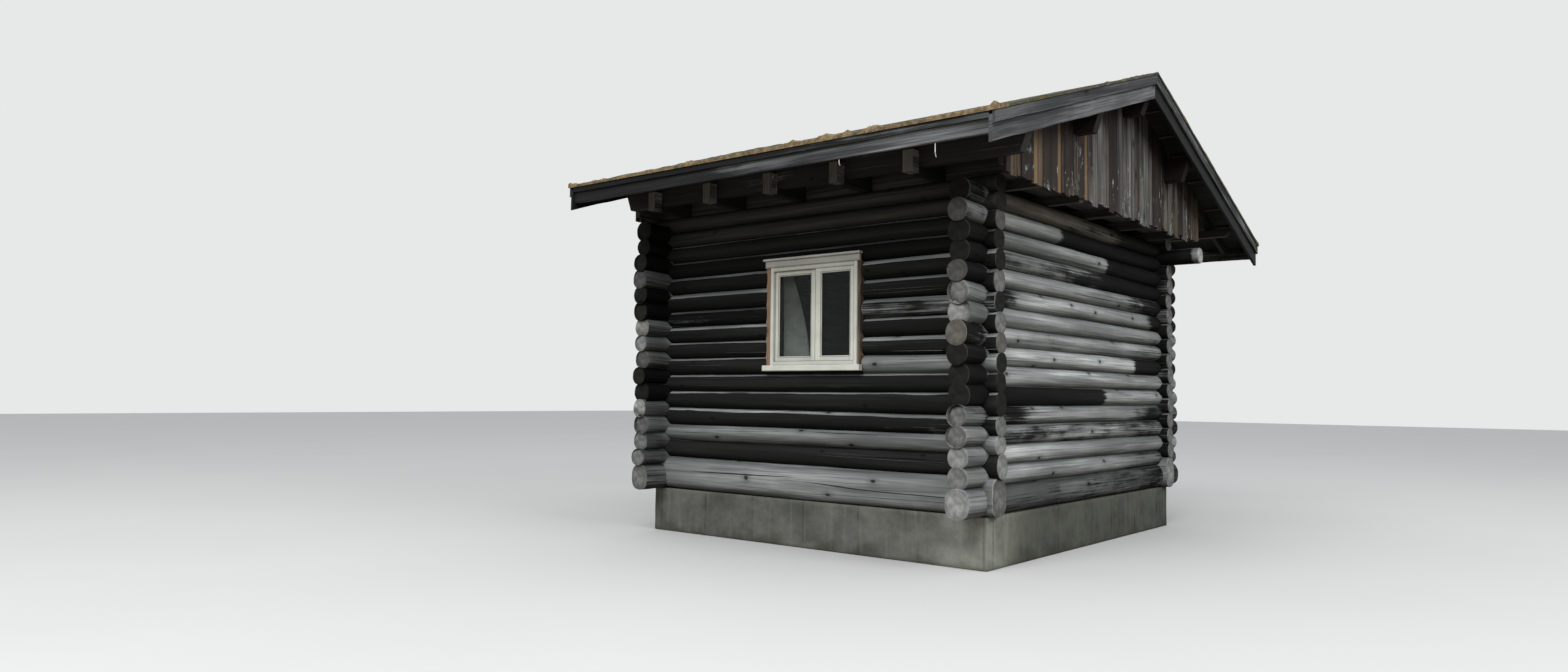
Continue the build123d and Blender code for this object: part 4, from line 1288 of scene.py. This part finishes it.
def cream_paint():
    paint = Finish("cream_paint", roughness=0.5, shine=0.35)
    painted_light_and_tone = paint.tones()[2]
    brush = paint.noise((2.5, 180), 3, 0.5)
    dirt = paint.patches((30, 30, 14), 0.56, 0.74, 6, 0.7)
    chip = paint.patches((9, 60), 0.70, 0.73, 5, 0.7)
    colour = paint.mix(paint.patches(5, 0.3, 0.7, 4, 0.6), (0.44, 0.445, 0.40), (0.515, 0.52, 0.475))
    colour = paint.stain(colour, dirt, 0.30, (0.22, 0.21, 0.17))
    colour = paint.stain(colour, chip, 0.6, (0.20, 0.16, 0.11))
    rough = paint.spread(dirt, 0.0, 1.0, 0.42, 0.75)
    return paint.wear(paint.lit(colour, painted_light_and_tone), rough, paint.plus(chip, -1.0, brush), 0.0006, 0.4)


def window_pane():
    glass = Finish("window_pane", roughness=0.06, shine=0.22)
    smear = glass.patches((4, 4, 9), 0.35, 0.75, 5, 0.65)
    dust = glass.patches(60, 0.5, 0.8, 4, 0.6)
    # Painted shade: the pane is a dark, partly opaque sheet that stands for the dim room behind it, varied by
    # smears and dust.
    glass.tree.links.new(glass.spread(smear, 0, 1, 0.40, 0.47), glass.shader.inputs["Alpha"])
    tint = glass.mix(glass.times(dust, smear), (0.010, 0.014, 0.012), (0.05, 0.055, 0.05))
    return glass.wear(tint, glass.spread(smear, 0, 1, 0.03, 0.12))


paint = cream_paint()
dress("window_glass", window_pane())
print("window finishes:", paint.name, "and", nodes["window_glass"].data.materials[0].name)

# %% Window frame and sashes
# The rails and the back of the sill are a little darker than the stiles.
clean, dimmer = (0, 0, 0.50, 0), (0, 0, 0.43, 0)
frame_low, frame_high = (-0.5595, 1.678), (0.4455, 2.606)


def frame_of_boards(pile, low, high, front, depth, sizes, seed, ease=0.003, tones=(clean, dimmer)):
    """Four boards round an opening. sizes are the left, right, bottom and top widths."""
    (x0, z0), (x1, z1) = low, high
    left, right, bottom, top = sizes
    for name, x, width in (("left", x0, left), ("right", x1 - right, right)):
        lay_board(
            pile, (x, front, z0), upward, along_x, z1 - z0, width, depth, tones[0], (seed, name),
            sway=0.0006, ease=ease,
        )
    for name, z, width in (("bottom", z0, bottom), ("top", z1 - top, top)):
        lay_board(
            pile, (x0 + left, front + depth, z), along_x, upward, x1 - x0 - left - right, width, depth,
            tones[1], (seed, name), sway=0.0006, ease=ease,
        )


outer_frame = Pile()
frame_of_boards(
    outer_frame, frame_low, frame_high, -2.3125, 0.100, (0.036,) * 4, "frame", ease=0.005
)
# Painted shadow: a thin dark strip stands for the shade in the sash track.
painted_track_shadow = (0, 0, 0.06, 0)
lay_board(
    outer_frame, (-0.5225, -2.2835, 1.7145), along_x, upward, 0.470, 0.004, 0.022, painted_track_shadow, "track",
    ease=0.001,
)
make_piece("window_frame_painted", outer_frame, [paint], "window_paint", "window_frame")

sash_foot, sash_top, rail, bead, groove = 1.7143, 2.5697, 0.040, 0.009, 0.0045
for name, low_x, high_x, left, right, front in (  # left and right are the widths of the stiles
    ("left", -0.5232, -0.02715, 0.040, 0.064, -2.2805), ("right", -0.02685, 0.4092, 0.064, 0.040, -2.3045),
):
    sash = Pile()
    frame_of_boards(
        sash, (low_x, sash_foot), (high_x, sash_top), front, 0.030, (left, right, rail, rail), (name, "sash")
    )
    frame_of_boards(
        sash, (low_x + left - 0.001, sash_foot + rail - 0.001),
        (high_x - right + 0.001, sash_top - rail + 0.001), front + 0.003, 0.0095, (bead,) * 4,
        (name, "bead"), ease=0.002,
    )
    # Painted shade: thin dark strips at the outer and inner edges of each sash stand for the shade in the
    # gaps.
    for left_in, right_in, rail_in in ((0.0, 0.0, 0.0), (left - groove, right - groove, rail - groove)):
        frame_of_boards(
            sash, (low_x + left_in, sash_foot + rail_in), (high_x - right_in, sash_top - rail_in),
            front - 0.0008, 0.004, (groove,) * 4, (name, "joint", left_in), ease=0.001,
            tones=((0, 0, 0.10, 0), (0, 0, 0.14, 0)),
        )
    make_piece(f"{name}_sash_painted", sash, [paint], "window_paint", f"{name}_sash")

# %% [markdown]
# The boards beside the frame reach back through the wall, and their edges follow the logs: full
# over a seam and hollow over the belly of a log. A joiner scribes such an edge with compasses, and
# here a sine of the log courses does it. Sill, head board and drip cap are plain painted boards.

# %% Boards round the window
seam_height, seam_step = 1.762, 0.1665
frame_height = frame_high[1] - frame_low[1]
sides = Pile()
# The right board has more coat and is painted darker, in shade.
for low, high, edge, tone in (
    (-0.6215, -0.5598, 0, (0.05, 0, 0.46, 0.22)), (0.4458, 0.4725, 1, (0.45, 0, 0.34, 0.1)),
):
    def scribed(place, edge=edge):
        turn = math.pi * (place + frame_low[1] - seam_height) / seam_step
        bulge = 0.006 * (1 - 2 * abs(math.sin(turn)) ** 0.7)
        return (-bulge, 0.0) if edge else (0.0, bulge)

    lay_board(
        sides, (high, -2.1025, frame_low[1]), upward, -along_x, frame_height, high - low, 0.192, tone,
        ("jamb", edge), step=0.012, scribe=scribed, sway=0.0008,
    )
make_piece("window_side_boards_scribed", sides, [trim_wood], "window_wood", "window_jamb_boards")

# Painted shade: the head board and the thin strip under it are painted darker, in the drip cap's shade, and
# the drip cap is a little darker too.
painted_boards = {  # seed, low corner, length, width, thickness, tone, further settings
    "window_sill": [
        ("sill nose", (-0.6375, -2.2828, 1.624), 1.126, 0.054, 0.0517, clean, {"ease": 0.006, "sway": 0.001}),
        ("sill back", (-0.6215, -2.1105, 1.624), 1.094, 0.0535, 0.1723, dimmer, {}),
    ],
    "window_head_board": [
        ("head", (-0.6215, -2.2825, 2.606), 1.094, 0.066, 0.030, (0, 0, 0.34, 0), {"sway": 0.001}),
        ("head shadow", (-0.6215, -2.3125, 2.6065), 1.094, 0.010, 0.0035, (0, 0, 0.20, 0), {"ease": 0.001}),
    ],
    "window_drip_cap": [
        ("cap", (-0.6375, -2.2825, 2.672), 1.126, 0.020, 0.054, (0, 0, 0.4, 0), {"sway": 0.001}),
    ],
}
for node, boards in painted_boards.items():
    pile = Pile()
    for seed, corner, length, width, thickness, tone, more in boards:
        lay_board(pile, corner, along_x, upward, length, width, thickness, tone, seed, **more)
    make_piece(f"{node}_painted", pile, [paint], "window_paint", node)

# %% [markdown]
# ## The curtain
# A pale curtain is pushed to one side of the rod, so it hangs in narrow folds that open towards the
# hem. A simulation could gather it, but the folds behind the glass are better controlled by sums: at
# every height the cloth is as long as its cut, so the folds must be as deep as the narrower gather
# asks for.

# %% Folds of the curtain
cut_width, cut_height = 0.62, 0.85
rod_x, rod_y, rod_z = -0.5150, -2.1645, 2.577
fold_count, fold_rows = 10, 60
line_steps = fold_count * 12


def fold_line(width, depth, drop):
    points = []
    for index in range(line_steps + 1):
        share = index / line_steps
        lag = 0.10 * math.sin(share * 7 + 1) + 0.05 * drift(share * 3, 5, 2.0)
        swing = math.sin(math.tau * (fold_count * share + lag * (0.5 + drop)))
        points.append((share * width, depth * (0.86 + 0.14 * drift(share * 4, 2, 1.5)) * swing))
    return points


def gathered(drop):
    """The line of the cloth at a drop from 0 to 1, with folds as deep as its cut width needs."""
    width = 0.088 + 0.228 * (1 - (1 - drop) ** 1.6)
    shallow, deep = 0.0, 0.03
    for _ in range(24):
        depth = (shallow + deep) / 2
        line = fold_line(width, depth, drop)
        if sum(math.dist(a, b) for a, b in zip(line, line[1:])) < cut_width:
            shallow = depth
        else:
            deep = depth
    return line


lines = [gathered(row / fold_rows) for row in range(fold_rows + 1)]
print("deepest fold:", round(max(abs(y) for line in lines for _, y in line), 4))

# %% Curtain cloth
cloth = Pile()
# Painted shade: the light tone rises from 0.36 at the rod to 0.66 at the hem, so the top of the curtain is
# painted in shade.
cloth.skin([
    [
        cloth.corner(
            (rod_x + x, rod_y + y, rod_z - cut_height * row / fold_rows),
            (0, 0, 0.36 + 0.30 * row / fold_rows, 0),
            (cut_width * index / line_steps, cut_height * row / fold_rows),
        )
        for index, (x, y) in enumerate(line)
    ]
    for row, line in enumerate(lines)
])
weave = Finish("curtain_weave", roughness=0.9, shine=0.1)
thread = {"Vector": weave.places((1, 1)), "Scale": 420.0, "Distortion": 0.6}
woven = weave.times(*(weave.add("TexWave", thread, bands_direction=way).outputs["Fac"] for way in "XY"))
cloth_tint = weave.mix(weave.patches((3, 3, 1.2), 0.3, 0.7, 3), (0.58, 0.63, 0.59), (0.70, 0.75, 0.71))
cloth_tint = weave.lit(weave.stain(cloth_tint, woven, 0.3, (0.80, 0.84, 0.81)), weave.tones()[2])
weave.wear(cloth_tint, None, woven, 0.0003, 0.4)
curtain = make_piece("curtain_cloth", cloth, [weave.material], "curtain_cloth", "curtain", crease=180)

# %% [markdown]
# ## Door, floor and inside boards
# The door is made of upright planks with straps across them, and its planks are laid one by one.
# The floor is laid in the same way. Trims and joists whose plain shape is right keep the frame's own
# solids and only get a finish that follows the length of each piece.

# %% Door planks and floor boards
leaf = Pile()
leaf_low, leaf_high = (Vector(corner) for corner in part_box("door_leaf"))
plank = (leaf_high.x - leaf_low.x) / 6
for index in range(6):
    tone = (0.35 + seeded("door", index).uniform(-0.2, 0.3), 0.2, 0.5, 0.1)
    lay_board(
        leaf, (leaf_low.x + plank * index + 0.0008, leaf_low.y, leaf_low.z), upward, along_x,
        leaf_high.z - leaf_low.z, plank - 0.0016, 0.045, tone, ("door", index), ease=0.004, sway=0.0006,
    )
make_piece("door_planks", leaf, [door_wood], "door_wood", "door_leaf")

floor_low, floor_high = (Vector(corner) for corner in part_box("floor_boards"))
floor = Pile()
place, number = floor_low.y, 0
while place < floor_high.y - 0.02:
    width = min(0.140, floor_high.y - place)
    tone = (0.1, 0.0, 0.5 + seeded("floor", number).uniform(-0.06, 0.06), 0.5)
    lay_board(
        floor, (floor_low.x, place + 0.001, floor_low.z), along_x, along_y, floor_high.x - floor_low.x,
        width - 0.002, floor_high.z - floor_low.z, tone, ("floor", number), sway=0.0006,
    )
    place, number = place + width, number + 1
make_piece("floor_boards_laid", floor, [floor_wood], "floor_wood", "floor_boards")

# %% Iron, brass, and timber for the plain solids


def iron_finish():
    iron = Finish("old_iron", roughness=0.6, shine=0.5, metal=0.6)
    rusty = iron.patches(40, 0.42, 0.62, 6, 0.7)
    height = iron.math("ADD", rusty, iron.noise(220, 3, 0.6))
    colour = iron.mix(rusty, (0.035, 0.034, 0.033), (0.12, 0.055, 0.028))
    return iron.wear(colour, iron.spread(rusty, 0, 1, 0.45, 0.85), height, 0.0006, 0.5)


def rod_finish():
    brass = Finish("brass_rod", roughness=0.35, shine=0.5, metal=0.9)
    dull = brass.patches((18, 60, 60), 0.35, 0.65, 5, 0.6)
    colour = brass.mix(dull, (0.42, 0.33, 0.17), (0.28, 0.22, 0.12))
    return brass.wear(colour, brass.spread(dull, 0, 1, 0.28, 0.55))


def solid_timber(name, way, dark, middle, pale):
    """Timber for a plain solid of the frame, with its grain along X, Y or Z."""
    wood = Finish(name, roughness=0.85, shine=0.2)
    strides = tuple(1.2 if axis == way else 50 for axis in "XYZ")
    fibre = wood.patches(strides, 0.30, 0.70, 6, 0.6)
    slow = wood.patches(tuple(toned(strides, 0.22)), 0.35, 0.65, 3)
    colour = wood.mix(wood.times(fibre, slow), wood.mix(fibre, dark, middle), pale)
    return wood.wear(colour, wood.spread(fibre, 0, 1, 0.9, 0.75), fibre, 0.0015, 0.4)


dark_boards = ((0.013, 0.0126, 0.0118), (0.028, 0.027, 0.0245), (0.062, 0.059, 0.053))
bare_boards = ((0.10, 0.075, 0.05), (0.22, 0.17, 0.115), (0.34, 0.275, 0.20))
old_boards = ((0.035, 0.031, 0.027), (0.09, 0.08, 0.07), (0.19, 0.175, 0.155))
plain_solids = (
    ("gable_rails", "dark_rail", "Y", dark_boards), ("gable_lookouts", "dark_lookout", "X", dark_boards),
    ("eave_boards", "dark_eave_board", "X", dark_boards), ("soffit_boards", "dark_soffit", "Y", dark_boards),
    ("floor_joists", "joist_wood", "X", bare_boards), ("door_frame", "door_frame_wood", "Z", old_boards),
    ("door_threshold", "threshold_wood", "X", old_boards),
)
for node, name, way, tints in plain_solids:
    dress(node, solid_timber(name, way, *tints))
old_iron = iron_finish()
dress("door_latch", old_iron)
dress("door_hinges", old_iron)
dress("curtain_rod", rod_finish())
print("solids that keep their plain shape:", [node for node, *_ in plain_solids])

# %% [markdown]
# ## The foundation
# The concrete ring was cast between boards. Their joints left upright ribs, splashing rain has
# darkened its foot, and lime has run down from its top. The ribs and the uneven face are part of the
# mesh, and the stains belong to the finish. Near the near corner the face is painted lighter, as
# painted light, and the gable and rear faces are darker and mossier.

# %% Concrete finish


def concrete_finish():
    cast = Finish("cast_concrete", roughness=0.93, shine=0.12)
    jointed, _, painted_light_and_tone, mossy = cast.tones()
    sand = cast.noise(180, 3, 0.6)
    wide = cast.patches((2.6, 2.6, 3.4), 0.32, 0.68, 5, 0.62)
    spot = cast.patches((14, 14, 10), 0.42, 0.66, 5, 0.65)
    runs = cast.patches((11, 11, 0.9), 0.50, 0.70, 4, 0.6)
    hole = cast.add("TexVoronoi", {"Vector": cast.places(34)}).outputs["Distance"]
    hole = cast.spread(hole, 0.16, 0.09)
    foot = cast.spread(cast.plus(wide, 0.10, cast.level()), 0.16, 0.02)
    colour = cast.mix(wide, (0.085, 0.090, 0.078), (0.185, 0.19, 0.175))
    for amount, share, tint in (
        (spot, 0.5, (0.13, 0.128, 0.112)), (runs, 0.35, (0.25, 0.25, 0.23)),
        (foot, 0.55, (0.065, 0.068, 0.048)), (cast.spread(sand, 0.35, 0.65), 0.25, (0.075, 0.075, 0.068)),
        (hole, 0.7, (0.03, 0.03, 0.027)),
        (cast.times(mossy, wide), 0.45, (0.085, 0.10, 0.055)),
    ):
        colour = cast.stain(colour, amount, share, tint)
    joint = cast.times(cast.spread(jointed, 0.30, 1.0), cast.spread(wide, 0.2, 0.8, 0.50, 0.08))
    colour = cast.lit(cast.mix(joint, colour, (0.045, 0.047, 0.040)), painted_light_and_tone)
    return cast.wear(colour, None, cast.plus(spot, 0.6, cast.plus(hole, -1.0, sand)), 0.003, 0.6)


concrete = concrete_finish()
print("foundation finish:", concrete.name)

# %% Foundation
form_length, ring_width, grid = 0.62, 0.3, 0.028
ways_out = [(0, -1), (1, 0), (0, 1), (-1, 0)]
near_corner = (near_face, front_face)


def ring_stations():
    """Places round the outside of the ring: x, y, how far along their face, and the face's number."""
    corners = [(far_face, front_face), near_corner, (near_face, rear_face), (far_face, rear_face)]
    stations = []
    for face, (start, end) in enumerate(zip(corners, corners[1:] + corners[:1])):
        length = math.dist(start, end)
        count = int(length / grid)
        for step in range(count):
            x, y = (part_way(pair, step / count) for pair in zip(start, end))
            stations.append((x, y, step / count * length, face))
    return stations


def outside_corner(pile, x, y, z, along, face):
    """A corner of the outside face, with the ribs and stains of its form boards, and painted light near the
    near corner.
    """
    from_joint = abs((along + 0.2) % form_length - form_length / 2)
    bump = 0.0018 * wave(x * 6, y * 6, z * 6) + 0.0010 * wave(x * 31, y * 31, z * 31)
    bump += 0.0022 * bell(from_joint, 0.008) - (0.008 if z in (0.0, footing) else 0.003)
    ways = [ways_out[face]]
    if along == 0:
        ways.append(ways_out[face - 1])
        bump -= 0.004
    spot = (x + bump * sum(way[0] for way in ways), y + bump * sum(way[1] for way in ways), z)
    panel = seeded("panel", face, int((along + 0.51) / form_length)).uniform(-0.035, 0.035)
    # Painted light: the face is painted brighter near the near corner; each form panel also differs a little,
    # and the gable and rear faces are darker and mossier.
    panel_and_painted_light = 0.34 + panel + 0.52 * bell(math.dist((x, y), near_corner), 0.45)
    darker_faces = face in (1, 2)
    tone = (float(from_joint < 0.014), 0, panel_and_painted_light - 0.10 * darker_faces, 0.75 if darker_faces else 0.15)
    return pile.corner(spot, tone, (along + 5 * face, z))


def cast_ring():
    """The foundation as a closed ring: outside face, top, inside face and base."""
    pile, stations = Pile(), ring_stations()
    heights = [0.0, 0.008] + [0.03 + grid * index for index in range(14)] + [0.422, footing]
    loops = [[outside_corner(pile, x, y, z, along, face) for x, y, along, face in stations] for z in heights]
    for z in (footing, 0.0):
        loop = []
        for x, y, along, face in stations:
            inside = [
                part_way((low + ring_width, high - ring_width), (place - low) / (high - low))
                for place, low, high in ((x, far_face, near_face), (y, front_face, rear_face))
            ]
            loop.append(pile.corner((*inside, z), (0, 0, 0.5, 0), (along + 5 * face, z + 1)))
        loops.append(loop)
    pile.skin(loops + loops[:1], closed=True)
    return pile


make_piece("foundation_cast", cast_ring(), [concrete], "concrete", "foundation", crease=50)

# %% [markdown]
# ## Two wire hooks
# Under the front eave two short galvanised hooks are left from something that once hung there. They
# are bent wire, so a round section is swept along a few bends.

# %% Hooks


def bend_wire(pile, path, radius, sides=8):
    rings = []
    for index, place in enumerate(path):
        before, after = Vector(path[max(index - 1, 0)]), Vector(path[min(index + 1, len(path) - 1)])
        turn = (after - before).to_track_quat("Z", "Y").to_matrix()
        ring = []
        for step in range(sides):
            angle = math.tau * step / sides
            spot = Vector(place) + turn @ Vector((radius * math.cos(angle), radius * math.sin(angle), 0))
            ring.append(pile.corner(spot, (0, 0, 0.5, 0), (index * 0.01, step * 0.003)))
        rings.append(ring)
    pile.skin(rings, closed=True)
    pile.face(rings[0])
    pile.face(rings[-1])


zinc = Finish("dull_zinc", roughness=0.55, shine=0.5)
spangle = zinc.patches(120, 0.4, 0.6, 4, 0.6)
zinc_tint = zinc.mix(spangle, (0.42, 0.43, 0.43), (0.60, 0.61, 0.60))
zinc.wear(zinc_tint, zinc.spread(spangle, 0, 1, 0.45, 0.7), spangle, 0.0004, 0.4)
hooks = Pile()
hook_y, hook_z = 0.037 - half_run, roof_height(roof_back, -half_run) - eave_drop
bends = (
    (0, -0.002, 0.3), (0.003, -0.006, 0.7), (0.006, -0.004, 0.95), (0.004, 0.006, 1), (-0.002, 0.012, 0.93),
)
for hook_x, drop in ((1.83, 0.105), (0.95, 0.050)):
    path = [(hook_x, hook_y, hook_z + 0.004)]
    path += [(hook_x + x, hook_y + y, hook_z - share * drop) for x, y, share in bends]
    bend_wire(hooks, path, 0.0035)
make_piece("eave_hooks", hooks, [zinc.material], "iron")
